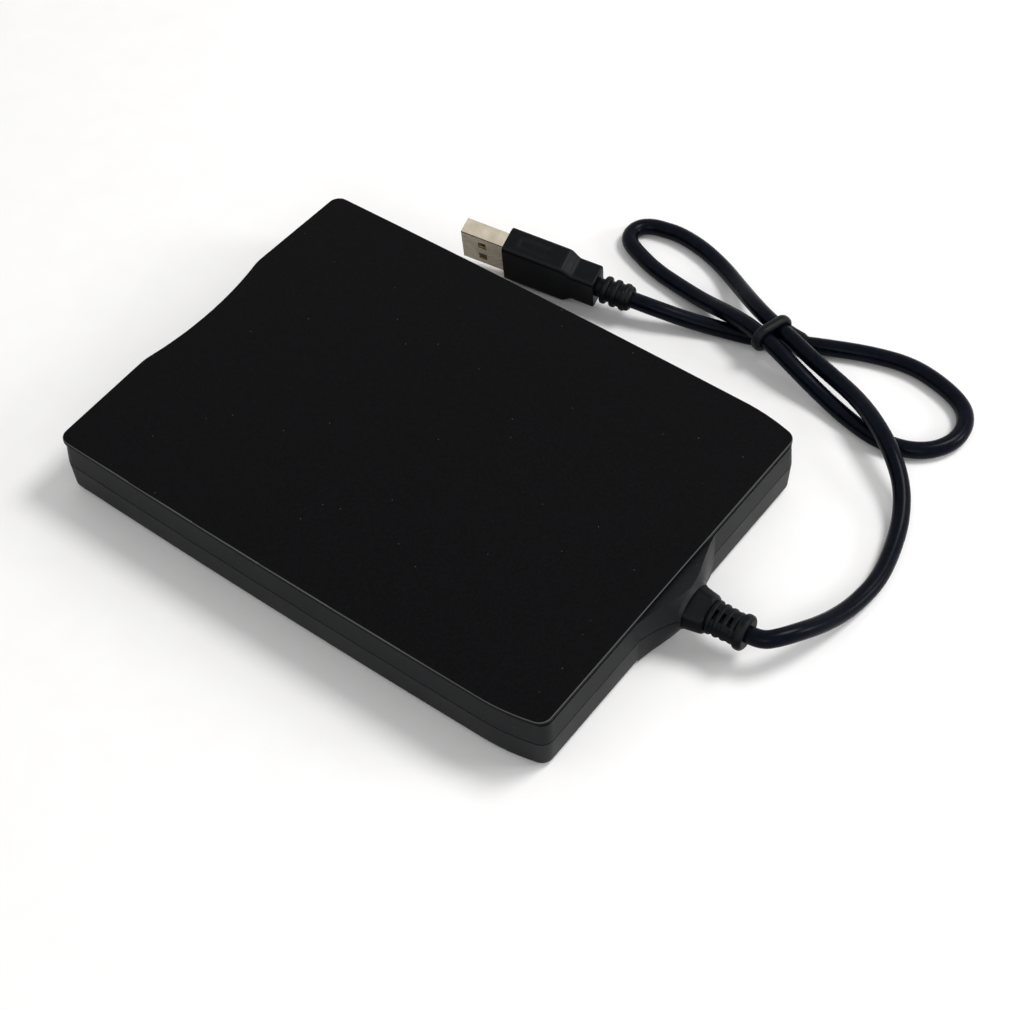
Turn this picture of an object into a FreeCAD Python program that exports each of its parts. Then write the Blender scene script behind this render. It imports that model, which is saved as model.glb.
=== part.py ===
import FreeCAD, Part
import math
import os

# External floppy disk drive with its USB lead.
# Millimetres. +Z is up, the floor is z = 0, the disk slot faces -Y and the lead leaves at +Y.
# The origin is the middle of the case, on the floor.

Vec = FreeCAD.Vector
X_AXIS = Vec(1, 0, 0)
Y_AXIS = Vec(0, 1, 0)
Z_AXIS = Vec(0, 0, 1)

# The diskette that the drive takes
disk_width = 90.0
disk_length = 94.0
disk_thickness = 3.3
hub_from_disk_rear = 46.0
track_zero_radius = 39.5
head_travel = 14.8
disk_side_play = 0.4
disk_end_play = 0.9
disk_height_play = 0.9

# Clearances
running_gap = 0.05
body_gap = 0.3
window_margin = 0.1
frame_side_play = 1.5
holder_headroom = 0.8
shield_gap = 0.1

# Sheets and boards
frame_sheet = 1.0
shield_sheet = 0.25
holder_sheet = 0.5
holder_flange_sheet = 0.6
rail_sheet = 0.6
slider_sheet = 0.5
lever_sheet = 0.4
motor_board_sheet = 0.8
board_sheet = 1.0

# Case
disk_front_inset = 1.0
rear_bay_length = 45.0
side_bow = 0.75
shoulder_length = 17.0
shoulder_start_in = 0.3
shoulder_middle_from_rear = 9.0
shoulder_middle_in = 0.85
shoulder_end_in = 2.85
front_corner_setback = 0.3
front_kink_x = 20.5
front_kink_out = 0.5
waist_depth = 2.2
front_corner_radius = 3.0
rear_corner_radius = 3.2
kink_radius = 12.0
seam_bulge = 0.45
foot_height = 0.5
bottom_edge_radius = 1.5
panel_edge_radius = 0.3
panel_thickness = 0.95
panel_rear_setback = 0.4
groove_height = 0.8
groove_depth = 1.1
lower_shell_height = 8.8
seam_reveal = 0.25
seam_reveal_depth = 0.35
wall = 1.8
floor_thickness = 1.4
ceiling_thickness = 0.85
foot_reach = 3.5
foot_radius = 2.5
foot_recess = 0.3
front_foot_x = 34.0
front_foot_from_front = 10.0
rear_foot_x = 28.0
rear_foot_from_rear = 8.0

# Screws and posts of the case
boss_from_side = 9.5
boss_from_rear = 7.0
boss_radius = 2.6
case_screw_radius = 0.85
case_screw_head_radius = 1.9
case_screw_head_height = 0.9
case_screw_grip = 3.5
screw_sink = 0.1
screw_hole_play = 0.2
screw_head_play = 0.1
cross_length = 1.8
cross_width = 0.4
cross_depth = 0.5
frame_pad_height = 0.4
frame_pad_radius = 4.0
frame_screw_radius = 1.15
frame_screw_head_radius = 2.5
frame_screw_head_height = 0.8
frame_screw_from_side = 7.2
frame_screw_from_front = 13.0
frame_screw_from_rear = 9.5

# Front opening and bezel
slot_side_play = 1.2
slot_height_play = 1.2
slot_entry_drop = 0.1
bezel_side_lip = 1.3
bezel_top_lip = 0.8
bezel_sill = 3.0
bezel_inset = 0.6
bezel_depth = 4.0
lip_slope = 0.7
lip_slope_depth = 2.0
scoop_radius = 26.0
scoop_centre_out = 15.0
scoop_depth = 2.8
scoop_bottom_z = 5.2

# Dust door
door_axis_back = 1.1
door_axis_drop = 0.1
door_sheet = 0.8
door_roll_radius = 0.55
door_pin_radius = 0.4
door_slot_gap = 0.15
door_rib_width = 0.6
ear_length = 2.5
ear_drop = 2.2
ear_inset = 0.2
door_spring_from_end = 4.1
door_spring_length = 2.4
door_spring_radius = 0.6
door_spring_wire = 0.14
door_spring_pitch = 0.4
door_spring_leg = 2.8

# Button
button_x = 28.0
button_width = 9.4
button_height = 4.4
button_bottom_z = 4.1
button_reach = 5.0
button_back = 2.5
button_corner_radius = 0.6
button_edge_radius = 0.4
button_gap = 0.1
stem_width = 6.0
stem_height = 3.2
stem_lift = 0.6

# Lamp and front switches
lamp_x = -28.0
lamp_z = 6.4
lens_width = 3.4
lens_height = 1.4
lens_gap = 0.1
lens_flange = 0.7
lens_flange_depth = 1.8
lens_proud = 0.5
lens_edge_radius = 0.3
lamp_body_width = 3.0
lamp_body_length = 2.4
lamp_body_rise = 1.5
lamp_dome_radius = 1.1
switch_board_gap = 0.3
switch_board_length = 4.0
left_board_length = 27.5
right_board_length = 8.0
switch_board_from_side = 3.7
switch_from_disk_side = 5.5
disk_in_switch_x = -20.0
switch_width = 4.8
switch_length = 3.6
switch_height = 2.5
switch_edge = 0.3
plunger_radius = 0.7
plunger_rise = 2.0
plunger_travel = 1.2
plunger_tip_radius = 0.35
plunger_seat = 0.4

# Hump and strain relief at the rear
lead_below_seam = 0.2
hump_foot_radius = 16.5
hump_bend_radius = 11.3
hump_bend_out = 1.05
hump_root_radius = 6.0
hump_root_out = 3.6
hump_length = 4.5
hump_taper = 0.5
hump_bottom_gap = 0.3
relief_bore_radius = 3.6
relief_flange_radius = 5.2
relief_flange_depth = 1.6
relief_turn = 2.6
relief_root_radius = 4.5
relief_root_length = 4.2
relief_root_edge = 0.5
relief_flat_distance = 3.9
relief_flat_angle = 25.0
relief_core_radius = 3.1
relief_rib_radii = (4.1, 4.0, 3.9, 3.8)
relief_rib_pitch = 1.85
relief_rib_width = 1.1
relief_rib_edge = 0.3
relief_first_gap = 0.4
relief_collar_radius = 3.65
relief_collar_width = 1.2
cord_diameter = 4.2
wire_radius = 0.4
wire_pitch = 1.0
wire_drop = 0.6
wire_count = 4

# Mechanism frame
frame_from_front = 7.0
frame_from_rear = 12.5
frame_hole_radius = 4.0
frame_hole_from_side = 9.2
shield_hole_radius = 12.0
shield_slot_x = 26.0
shield_slot_length = 18.0
shield_slot_width = 2.4

# Disk holder, its lift and the shutter lever
holder_from_front = 12.0
holder_drop = 2.2
holder_lip_width = 2.4
disk_float = 0.3
arm_cut_half_width = 10.5
arm_cut_margin = 8.0
holder_slot_x = 24.0
holder_slot_length = 22.0
front_slot_from_disk_front = 19.0
front_slot_width = 4.0
rear_slot_from_disk_front = 33.0
rear_slot_width = 22.0
lift_pin_radius = 0.8
lift_pin_drop = 2.6
front_pin_from_disk_front = 25.0
rear_pin_from_disk_rear = 11.0
pin_end_gap = 0.1
lever_from_side = 7.4
lever_from_disk_rear = 10.0
lever_length = 22.0
lever_width = 3.2
lever_hub_radius = 2.6
lever_tip_radius = 2.0
lever_start = -60.0
lever_swing = 56.0
lever_pin_radius = 1.1
lever_pin_depth = 1.6
rivet_radius = 0.9
rivet_cap_radius = 1.6
rivet_cap_height = 0.15

# Eject slide and its springs
eject_travel = 4.0
rail_from_front = 15.0
rail_past_disk = 13.0
rail_below_holder_top = 0.7
slider_bridge_from_rear = 1.0
slider_bridge_length = 6.0
slider_foot_from_front = 1.0
slider_foot_length = 5.0
slider_foot_overlap = 4.0
tab_width = 7.0
tab_sheet = 0.6
tab_top_z = 8.2
spring_from_rail = 2.9
spring_lift = 1.6
spring_radius = 0.8
spring_wire = 0.25
spring_pitch = 0.75
spring_coil_length = 12.0
spring_loop_half = 1.05
spring_loop_length = 7.0
spring_hook_from_rear = 14.0
spring_post_from_hook = 22.0
spring_post_radius = 0.45
hook_height = 1.6
hook_sheet = 0.6
hook_reach = 0.4

# Spindle and its motor
motor_board_half_width = 24.0
motor_board_front_reach = 24.0
motor_board_rear_reach = 22.0
motor_screw_inset = 3.0
motor_screw_radius = 1.7
motor_screw_height = 0.9
slot_cut_width = 0.4
slot_cut_depth = 0.4
bearing_radius = 3.0
shaft_radius = 1.5
shaft_floor_gap = 0.4
shaft_rise = 1.3
shaft_edge = 0.4
stator_height = 1.1
stator_hub_radius = 5.6
tooth_count = 12
tooth_width = 1.0
tooth_height = 0.5
stator_air_gap = 1.0
shoe_width = 5.2
shoe_length = 1.6
coil_start = 7.0
coil_gap = 0.6
coil_width = 2.6
coil_round = 0.35
rotor_radius = 19.0
rotor_sheet = 0.7
rotor_wall = 0.8
rotor_rim_gap = 0.4
magnet_thickness = 1.6
hub_radius = 11.0
hub_height = 1.5
hub_edge = 0.4
drive_pin_radius = 1.2
drive_pin_offset = 8.5
drive_pin_drop = 0.7
drive_pin_rise = 0.9

# Heads and their carriage
rod_radius = 1.0
rod_x = 10.5
rod_lift = 2.5
rod_front_reach = 16.3
rod_rear_reach = 29.8
rod_post_width = 4.0
rod_post_length = 3.0
rod_post_rise = 1.8
rod_seat = 0.7
carriage_half_width = 13.5
carriage_floor_gap = 1.3
carriage_height = 2.4
carriage_front_reach = 3.5
carriage_rear_reach = 25.1
carriage_window_half = 6.5
carriage_window_front = 7.5
carriage_window_rear = 18.5
tongue_half_width = 5.0
tongue_reach = 4.0
head_post_half_width = 3.5
head_post_half_length = 3.0
head_post_height = 1.2
tower_half_width = 9.0
tower_length = 3.2
tower_height = 5.8
ear_width = 1.8
head_half = 2.0
head_width = 4.4
lower_head_height = 0.7
upper_head_height = 0.5
head_groove = 0.5
arm_pin_reach = 23.5
arm_pin_drop = 0.35
arm_pin_radius = 0.5
arm_half_width = 6.2
arm_front_reach = 3.2
arm_sheet = 0.5
arm_knuckle_radius = 0.85
arm_knuckle_side = 0.6
arm_lip = 0.5
arm_window_half = 3.0
arm_window_front = 8.5
arm_window_rear = 19.5
arm_seat = 0.15

# Lead screw and stepper motor
screw_x = 20.0
screw_above_rod = 2.8
screw_radius = 1.1
screw_pitch = 3.75
thread_length = 15.6
thread_start = 1.6
thread_radius = 0.22
journal_radius = 0.5
motor_radius = 5.0
motor_length = 9.0
motor_reach = 28.7
motor_groove = 0.2
terminal_width = 3.5
terminal_length = 5.0
terminal_height = 3.2
bracket_reach = 7.75
bracket_sheet = 0.7
bracket_half_width = 2.5
bracket_rear_half_width = 6.0
bracket_strip_rise = 2.0
bracket_strip_sheet = 0.6
follower_width = 1.2
fork_depth = 2.6

# Boards in the rear bay
logic_board_lift = 1.1
logic_board_length = 30.0
logic_board_depth = 16.5
logic_board_side_gap = 1.7
logic_board_rear_gap = 1.0
logic_post_inset = 2.5
logic_post_radius = 1.8
post_hole_radius = 0.8
big_chip_length = 8.0
big_chip_depth = 6.0
small_chip_length = 5.0
small_chip_depth = 3.8
chip_height = 1.2
chip_lead_width = 0.3
chip_lead_length = 0.6
chip_lead_sheet = 0.2
chip_stand = 0.1
resistor_length = 1.0
resistor_depth = 0.5
resistor_pitch = 1.8
logic_resistors = 5
bridge_resistors = 6
ribbon_width = 14.0
ribbon_sheet = 0.3
ribbon_foot_length = 1.6
ribbon_rise = 0.1
ribbon_reach = 1.2
bridge_board_half_length = 34.0
bridge_board_depth = 6.1
bridge_board_from_rear = 4.4
bridge_board_lift = 3.1
bridge_post_x = 27.0
bridge_post_radius = 2.0
bridge_chip_x = 12.0
bridge_chip_length = 7.0
bridge_chip_depth = 3.6
crystal_x = 20.5
crystal_length = 4.0
crystal_depth = 2.0
plug_block_half = 4.0
plug_block_depth = 2.8
plug_block_height = 3.4
board_screw_radius = 0.95
board_screw_head_radius = 1.8
board_screw_head_height = 1.0

# USB plug, lying on its narrow edge at the end of the lead
plug_tip = Vec(-63.3, -37.9, 10.2)
plug_yaw = 11.5
plug_pitch = -5.0
plug_roll = 13.6
shell_width = 12.0
shell_thickness = 4.5
shell_length = 12.0
shell_sheet = 0.3
shell_radius = 0.5
latch_size = 2.5
latch_length = 2.2
latch_from_tip = 4.6
tongue_thickness = 1.85
tongue_side_gap = 0.1
tongue_from_tip = 0.7
contact_width = 1.2
contact_depth = 0.2
contact_proud = 0.05
contact_from_tip = 1.4
contact_length = 8.6
contact_places = (-3.5, -1.0, 1.0, 3.5)
grip_width = 14.2
grip_thickness = 7.0
grip_length = 25.0
grip_corner = 0.8
grip_front_bevel = 0.3
grip_body_length = 16.0
grip_taper_length = 3.0
grip_rear_thinner = 0.3
grip_rear_narrower = 1.9
grip_rear_bevel = 0.4
finger_pad_depth = 0.35
finger_pad_width = 3.8
finger_pad_length = 9.5
finger_pad_from_shell = 3.0
plug_relief_length = 8.6
plug_first_gap = 1.5
plug_rib_radii = (3.6, 3.6, 3.55)
plug_rib_pitch = 2.6
plug_rib_width = 1.6
plug_rib_edge = 0.45
plug_core_radius = 2.4

# Lead and its tie
last_run = 6.3
tie_centre = Vec(-81.6, 42.6, 7.6)
tie_half_span = 2.4
tie_turn = -16.0
tie_band = 0.8
tie_width = 1.4
tie_slack = 0.15
tie_edge = 0.3
tie_tail_length = 6.0
tie_tail_sheet = 0.5
tie_tail_width = 0.9
tie_tail_lift = 14.0

# Places that follow from these sizes
case_length = disk_front_inset + disk_length + rear_bay_length
front_y = -case_length / 2
rear_y = case_length / 2
disk_front_y = front_y + disk_front_inset
disk_rear_y = disk_front_y + disk_length
spindle_y = disk_rear_y - hub_from_disk_rear
head_y = spindle_y + track_zero_radius
body_front_y = front_y + front_corner_setback
rear_inner_y = rear_y - wall
bezel_back_y = front_y + bezel_depth
frame_front_y = front_y + frame_from_front
frame_rear_y = rear_y - frame_from_rear
holder_front_y = front_y + holder_from_front
holder_rear_y = disk_rear_y + disk_end_play
rail_front_y = front_y + rail_from_front
rail_rear_y = disk_rear_y + rail_past_disk
lift_pin_ys = (disk_front_y + front_pin_from_disk_front, disk_rear_y - rear_pin_from_disk_rear)
hump_end_y = rear_y + hump_length

holder_inner_x = disk_width / 2 + disk_side_play
holder_half_width = holder_inner_x + holder_flange_sheet
rail_inner_x = holder_half_width + body_gap
rail_outer_x = rail_inner_x + rail_sheet
frame_inner_x = rail_outer_x + body_gap
frame_half_width = frame_inner_x + frame_sheet
case_half_width = frame_half_width + frame_side_play + wall
slot_half_width = disk_width / 2 + slot_side_play
bezel_half_width = slot_half_width + bezel_side_lip
window_half_width = bezel_half_width + window_margin

floor_z = foot_height + floor_thickness
frame_bottom_z = floor_z + frame_pad_height
frame_top_z = frame_bottom_z + frame_sheet
motor_board_top_z = frame_top_z + motor_board_sheet
rotor_top_z = motor_board_top_z + stator_height + body_gap + rotor_sheet
hub_top_z = rotor_top_z + hub_height
holder_lip_z = hub_top_z + holder_drop - disk_float - holder_sheet
holder_plate_z = holder_lip_z + holder_sheet + disk_thickness + disk_height_play
holder_top_z = holder_plate_z + holder_sheet
shield_z = holder_top_z + holder_headroom
ceiling_z = shield_z + shield_sheet + shield_gap
panel_z = ceiling_z + ceiling_thickness
case_height = panel_z + panel_thickness
groove_z = panel_z - groove_height
seam_z = foot_height + lower_shell_height
lead_z = seam_z - lead_below_seam
slot_bottom_z = holder_lip_z + holder_sheet - slot_entry_drop
slot_top_z = slot_bottom_z + disk_thickness + slot_height_play
bezel_bottom_z = foot_height + bezel_sill
bezel_top_z = slot_top_z + bezel_top_lip
slider_floor_z = frame_top_z + running_gap
lift_pin_z = holder_top_z - lift_pin_drop

boss_x = case_half_width - boss_from_side
boss_y = rear_y - boss_from_rear
screw_head_z = foot_height + screw_sink
case_screw_head_top_z = screw_head_z + case_screw_head_height
frame_screw_head_top_z = screw_head_z + frame_screw_head_height
frame_screw_x = frame_inner_x - frame_screw_from_side
frame_screw_ys = (frame_front_y + frame_screw_from_front, frame_rear_y - frame_screw_from_rear)
frame_screw_spots = [(x, y) for x in (-frame_screw_x, frame_screw_x) for y in frame_screw_ys]
foot_spots = [(-front_foot_x, front_y + front_foot_from_front), (front_foot_x, front_y + front_foot_from_front),
              (-rear_foot_x, rear_y - rear_foot_from_rear), (rear_foot_x, rear_y - rear_foot_from_rear)]

door_axis_y = bezel_back_y + door_axis_back
door_axis_z = slot_top_z - door_axis_drop
ear_inner_x = slot_half_width - ear_inset
ear_outer_x = bezel_half_width - window_margin
door_half_width = ear_inner_x - disk_side_play
door_spring_x = door_half_width - door_spring_from_end
button_front_y = front_y - button_reach
button_top_z = button_bottom_z + button_height

board_front_y = frame_front_y + switch_board_gap
board_rear_y = board_front_y + switch_board_length
switch_board_x = frame_inner_x - switch_board_from_side
switch_y = (board_front_y + board_rear_y) / 2
switch_x = disk_width / 2 - switch_from_disk_side
switch_spots = {"write_guard": switch_x, "density": -switch_x, "disk_in": disk_in_switch_x}
switch_top_z = motor_board_top_z + switch_height
plunger_top_z = switch_top_z + plunger_rise

lever_x = lever_from_side - holder_inner_x
lever_y = disk_rear_y - lever_from_disk_rear
lever_z = holder_top_z + running_gap
slider_bridge_y = rail_rear_y - slider_bridge_from_rear - slider_bridge_length
slider_foot_y = rail_front_y + slider_foot_from_front
spring_x = rail_inner_x - spring_from_rail
spring_z = frame_top_z + spring_lift
spring_hook_y = rail_rear_y - spring_hook_from_rear
spring_post_y = spring_hook_y - spring_post_from_hook

stator_z = motor_board_top_z
tooth_length = rotor_radius - rotor_wall - magnet_thickness - stator_air_gap - shoe_length
coil_end = tooth_length - coil_gap
rod_z = frame_top_z + rod_lift
rod_front_y = head_y - rod_front_reach
rod_length = rod_front_reach + rod_rear_reach
screw_z = rod_z + screw_above_rod
carriage_bottom_z = frame_top_z + carriage_floor_gap
carriage_top_z = carriage_bottom_z + carriage_height
carriage_front_y = head_y + carriage_front_reach
carriage_rear_y = head_y + carriage_rear_reach
tower_front_y = carriage_rear_y - tower_length
tower_top_z = carriage_top_z + tower_height
lower_head_z = carriage_top_z + head_post_height
arm_pin_y = head_y + arm_pin_reach
arm_pin_z = holder_top_z - arm_pin_drop
arm_z = arm_pin_z - arm_sheet / 2
motor_front_y = head_y + motor_reach
bracket_front_y = head_y + bracket_reach
screw_front_y = bracket_front_y + bracket_sheet + running_gap
screw_rear_y = motor_front_y + 1.0

logic_board_z = frame_top_z + logic_board_lift
logic_top_z = logic_board_z + board_sheet
logic_left_x = logic_board_side_gap - frame_inner_x
logic_right_x = logic_left_x + logic_board_length
logic_rear_y = frame_rear_y - frame_sheet - logic_board_rear_gap
logic_front_y = logic_rear_y - logic_board_depth
logic_post_spots = [(x, y) for x in (logic_left_x + logic_post_inset, logic_right_x - logic_post_inset)
                    for y in (logic_front_y + logic_post_inset, logic_rear_y - logic_post_inset)]
bridge_rear_y = rear_y - bridge_board_from_rear
bridge_front_y = bridge_rear_y - bridge_board_depth
bridge_post_y = boss_y
bridge_board_z = floor_z + bridge_board_lift
bridge_top_z = bridge_board_z + board_sheet
ribbon_left_x = logic_left_x + 7.5
ribbon_z = bridge_top_z + ribbon_rise
relief_inner_y = rear_inner_y - relief_flange_depth
relief_end_y = (hump_end_y + relief_root_length + relief_first_gap
                + len(relief_rib_radii) * relief_rib_pitch + relief_collar_width)
plug_rear = shell_length + grip_length
plug_lead_start = plug_rear + plug_relief_length
floor_lay = cord_diameter / 2
over_lay = tie_centre.z

os.makedirs("parts", exist_ok=True)


def save(node, shape):
    solid = shape.removeSplitter() if len(shape.Solids) > 0 else shape
    print(node, round(solid.Volume, 1), len(solid.Solids), solid.isValid())
    solid.exportStep("parts/" + node + ".step")


def box(x0, x1, y0, y1, z0, z1):
    return Part.makeBox(x1 - x0, y1 - y0, z1 - z0, Vec(x0, y0, z0))


def rod(radius, base, axis, length):
    return Part.makeCylinder(radius, length, base, axis)


def joined(shapes):
    result = shapes[0]
    for shape in shapes[1:]:
        result = result.fuse(shape)
    return result


def less(shape, cutters):
    for cutter in cutters:
        shape = shape.cut(cutter)
    return shape


def both_sides(shape):
    mirror = shape.mirror(Vec(0, 0, 0), X_AXIS)
    return [shape, mirror]


def polygon_plate(points, z0, z1):
    corners = [Vec(x, y, z0) for x, y in points]
    face = Part.Face(Part.makePolygon(corners + [corners[0]]))
    return face.extrude(Vec(0, 0, z1 - z0))


def turned(profile, z):
    # profile: (radius, y) pairs, closed on the axis and turned about a line along Y at height z
    points = [Vec(radius, y, z) for radius, y in profile]
    face = Part.Face(Part.makePolygon(points + [points[0]]))
    return face.revolve(Vec(0, 0, z), Y_AXIS, 360)


def round_uprights(solid, spots):
    for x, y, radius in spots:
        edges = []
        for edge in solid.Edges:
            ends = [v.Point for v in edge.Vertexes]
            if len(ends) == 2 and all(math.hypot(p.x - x, p.y - y) < 0.02 for p in ends):
                edges.append(edge)
        solid = solid.makeFillet(radius, edges)
    return solid


def case_block(inset, z0, z1, rear_setback=0.0):
    # the plan of the case, drawn in by inset all round
    half = case_half_width - inset
    corner_x = half - side_bow
    front = body_front_y + inset
    kink = front_y - front_kink_out + inset
    rear = rear_y - inset - rear_setback
    shoulder = Vec(half - shoulder_start_in, rear_y - shoulder_length, z0)
    bend = Vec(half - shoulder_middle_in, rear_y - shoulder_middle_from_rear, z0)
    heel = Vec(half - shoulder_end_in, rear, z0)
    corner = Vec(corner_x, front, z0)
    kink_point = Vec(front_kink_x, kink, z0)

    def other(point):
        return Vec(-point.x, point.y, point.z)

    edges = [
        Part.LineSegment(other(heel), heel),
        Part.Arc(heel, bend, shoulder),
        Part.Arc(shoulder, Vec(half, 0, z0), corner),
        Part.LineSegment(corner, kink_point),
        Part.Arc(kink_point, Vec(0, kink + waist_depth, z0), other(kink_point)),
        Part.LineSegment(other(kink_point), other(corner)),
        Part.Arc(other(corner), Vec(-half, 0, z0), other(shoulder)),
        Part.Arc(other(shoulder), other(bend), other(heel)),
    ]
    face = Part.Face(Part.Wire([edge.toShape() for edge in edges]))
    block = face.extrude(Vec(0, 0, z1 - z0))
    spots = []
    for side in (-1, 1):
        spots.append((side * corner_x, front, max(front_corner_radius - inset, 0.5)))
        spots.append((side * heel.x, rear, max(rear_corner_radius - inset, 0.5)))
        spots.append((side * front_kink_x, kink, kink_radius))
    return round_uprights(block, spots)


def case_outline(inset, z):
    block = case_block(inset, z, z + 1)
    under = [face for face in block.Faces if face.BoundBox.ZMax < z + 0.01]
    return under[0].OuterWire


def leaning_block(inset0, z0, inset1, z1):
    # the plan of the case, leaning in or out between two heights
    return Part.makeLoft([case_outline(inset0, z0), case_outline(inset1, z1)], True, True)


def hump_solid(z0, z1):
    # the rear wall flares out to meet the lead, and the floor and the panel cut it off
    inside_y = rear_y - 1.0
    foot = Vec(hump_foot_radius, rear_y - seam_bulge, lead_z)
    bend = Vec(hump_bend_radius, rear_y + hump_bend_out, lead_z)
    root = Vec(hump_root_radius, rear_y + hump_root_out, lead_z)
    lip = Vec(hump_root_radius - hump_taper, hump_end_y, lead_z)
    tip = Vec(0, hump_end_y, lead_z)
    inside = Vec(0, inside_y, lead_z)
    heel = Vec(hump_foot_radius, inside_y, lead_z)
    edges = [
        Part.Arc(foot, bend, root),
        Part.LineSegment(root, lip),
        Part.LineSegment(lip, tip),
        Part.LineSegment(tip, inside),
        Part.LineSegment(inside, heel),
        Part.LineSegment(heel, foot),
    ]
    face = Part.Face(Part.Wire([edge.toShape() for edge in edges]))
    flare = face.revolve(Vec(0, 0, lead_z), Y_AXIS, 360)
    reach = hump_foot_radius + 1
    return flare.common(box(-reach, reach, inside_y - 1, hump_end_y + 1, z0, z1))


def relief_space():
    start_y = rear_inner_y - 1
    return rod(relief_bore_radius, Vec(0, start_y, lead_z), Y_AXIS, hump_end_y + 1 - start_y)


def window_cut(z0, z1):
    return box(-window_half_width, window_half_width, front_y - 10, front_y + 10, z0, z1)


def make_bottom_shell():
    base_z = foot_height
    body = leaning_block(seam_bulge, base_z, 0, seam_z - seam_reveal)
    rim_edges = [e for e in body.Edges if e.BoundBox.ZMax < base_z + 0.01]
    body = body.makeFillet(bottom_edge_radius, rim_edges)
    reveal = case_block(seam_reveal_depth, seam_z - 2, seam_z)
    hump = hump_solid(base_z + hump_bottom_gap, seam_z - seam_reveal)
    body = joined([body, reveal, hump])
    body = body.cut(case_block(wall, floor_z, seam_z + 1))
    root_z = floor_z - 0.5
    posts = []
    for x in (-boss_x, boss_x):
        posts.append(rod(boss_radius, Vec(x, boss_y, root_z), Z_AXIS, seam_z - root_z))
    for x in (-bridge_post_x, bridge_post_x):
        posts.append(rod(bridge_post_radius, Vec(x, bridge_post_y, root_z), Z_AXIS, bridge_board_z - root_z))
    for x, y in frame_screw_spots:
        posts.append(rod(frame_pad_radius, Vec(x, y, root_z), Z_AXIS, frame_bottom_z - root_z))
    body = joined([body] + posts)
    cutters = [window_cut(bezel_bottom_z - window_margin, seam_z + 1), relief_space()]
    for x in (-boss_x, boss_x):
        cutters.append(rod(case_screw_radius + screw_hole_play, Vec(x, boss_y, 0), Z_AXIS, seam_z + 1))
        cutters.append(rod(case_screw_head_radius + screw_head_play, Vec(x, boss_y, 0), Z_AXIS,
                           case_screw_head_top_z))
    for x, y in frame_screw_spots:
        cutters.append(rod(frame_screw_radius + screw_hole_play, Vec(x, y, 0), Z_AXIS, frame_top_z))
        cutters.append(rod(frame_screw_head_radius + screw_head_play, Vec(x, y, 0), Z_AXIS,
                           frame_screw_head_top_z))
    for x, y in foot_spots:
        cutters.append(foot_pad(x, y))
    return less(body, cutters)


def foot_pad(x, y):
    # a stadium pad, let into the floor
    height = foot_height + foot_recess
    middle = box(x - foot_reach, x + foot_reach, y - foot_radius, y + foot_radius, 0, height)
    left = rod(foot_radius, Vec(x - foot_reach, y, 0), Z_AXIS, height)
    right = rod(foot_radius, Vec(x + foot_reach, y, 0), Z_AXIS, height)
    return joined([middle, left, right]).removeSplitter()


def make_feet():
    feet = []
    for x, y in foot_spots:
        pad = foot_pad(x, y)
        rim = [e for e in pad.Edges if e.BoundBox.ZMax < 0.01]
        feet.append(pad.makeFillet(foot_recess, rim))
    return Part.makeCompound(feet)


def make_upper_shell():
    body = leaning_block(0, seam_z, seam_bulge, groove_z)
    stage = case_block(groove_depth, groove_z - 1, panel_z, panel_rear_setback)
    body = joined([body, stage, hump_solid(seam_z, groove_z)])
    body = body.cut(case_block(wall, seam_z - 1, ceiling_z))
    posts = []
    for x in (-boss_x, boss_x):
        posts.append(rod(boss_radius, Vec(x, boss_y, seam_z), Z_AXIS, ceiling_z - seam_z + 0.3))
    body = joined([body] + posts)
    cutters = [window_cut(0, bezel_top_z + window_margin), relief_space()]
    for x in (-boss_x, boss_x):
        cutters.append(rod(case_screw_radius, Vec(x, boss_y, seam_z - 1), Z_AXIS, case_screw_grip + 1.5))
    return less(body, cutters)


def make_top_panel():
    plate = case_block(0, panel_z, case_height, panel_rear_setback)
    rim = [e for e in plate.Edges if e.BoundBox.ZMin > case_height - 0.01]
    return plate.makeFillet(panel_edge_radius, rim)


def screw(x, y, head_radius, head_height, shank_radius, tip_z):
    # a cross-head screw standing on its head, driven upwards from below
    head = rod(head_radius, Vec(x, y, screw_head_z), Z_AXIS, head_height)
    shank = rod(shank_radius, Vec(x, y, screw_head_z), Z_AXIS, tip_z - screw_head_z)
    body = head.fuse(shank)
    for angle in (0, 90):
        bar = box(-cross_length / 2, cross_length / 2, -cross_width / 2, cross_width / 2,
                  screw_head_z - 0.1, screw_head_z + cross_depth)
        bar.rotate(Vec(0, 0, 0), Z_AXIS, angle)
        bar.translate(Vec(x, y, 0))
        body = body.cut(bar)
    return body


def make_case_screws():
    screws = []
    for x in (-boss_x, boss_x):
        screws.append(screw(x, boss_y, case_screw_head_radius, case_screw_head_height, case_screw_radius,
                            seam_z + case_screw_grip))
    return Part.makeCompound(screws)


def make_frame_screws():
    screws = []
    for x, y in frame_screw_spots:
        screws.append(screw(x, y, frame_screw_head_radius, frame_screw_head_height, frame_screw_radius,
                            frame_top_z))
    return Part.makeCompound(screws)


def slot_space():
    space = box(-slot_half_width, slot_half_width, front_y - 10, front_y + 10, slot_bottom_z, slot_top_z)
    ear_y = bezel_back_y + 0.1
    for ear in both_sides(box(ear_inner_x, slot_half_width + 1, ear_y, front_y + 11, 0, slot_top_z + 1)):
        space = space.cut(ear)
    return space


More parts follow.
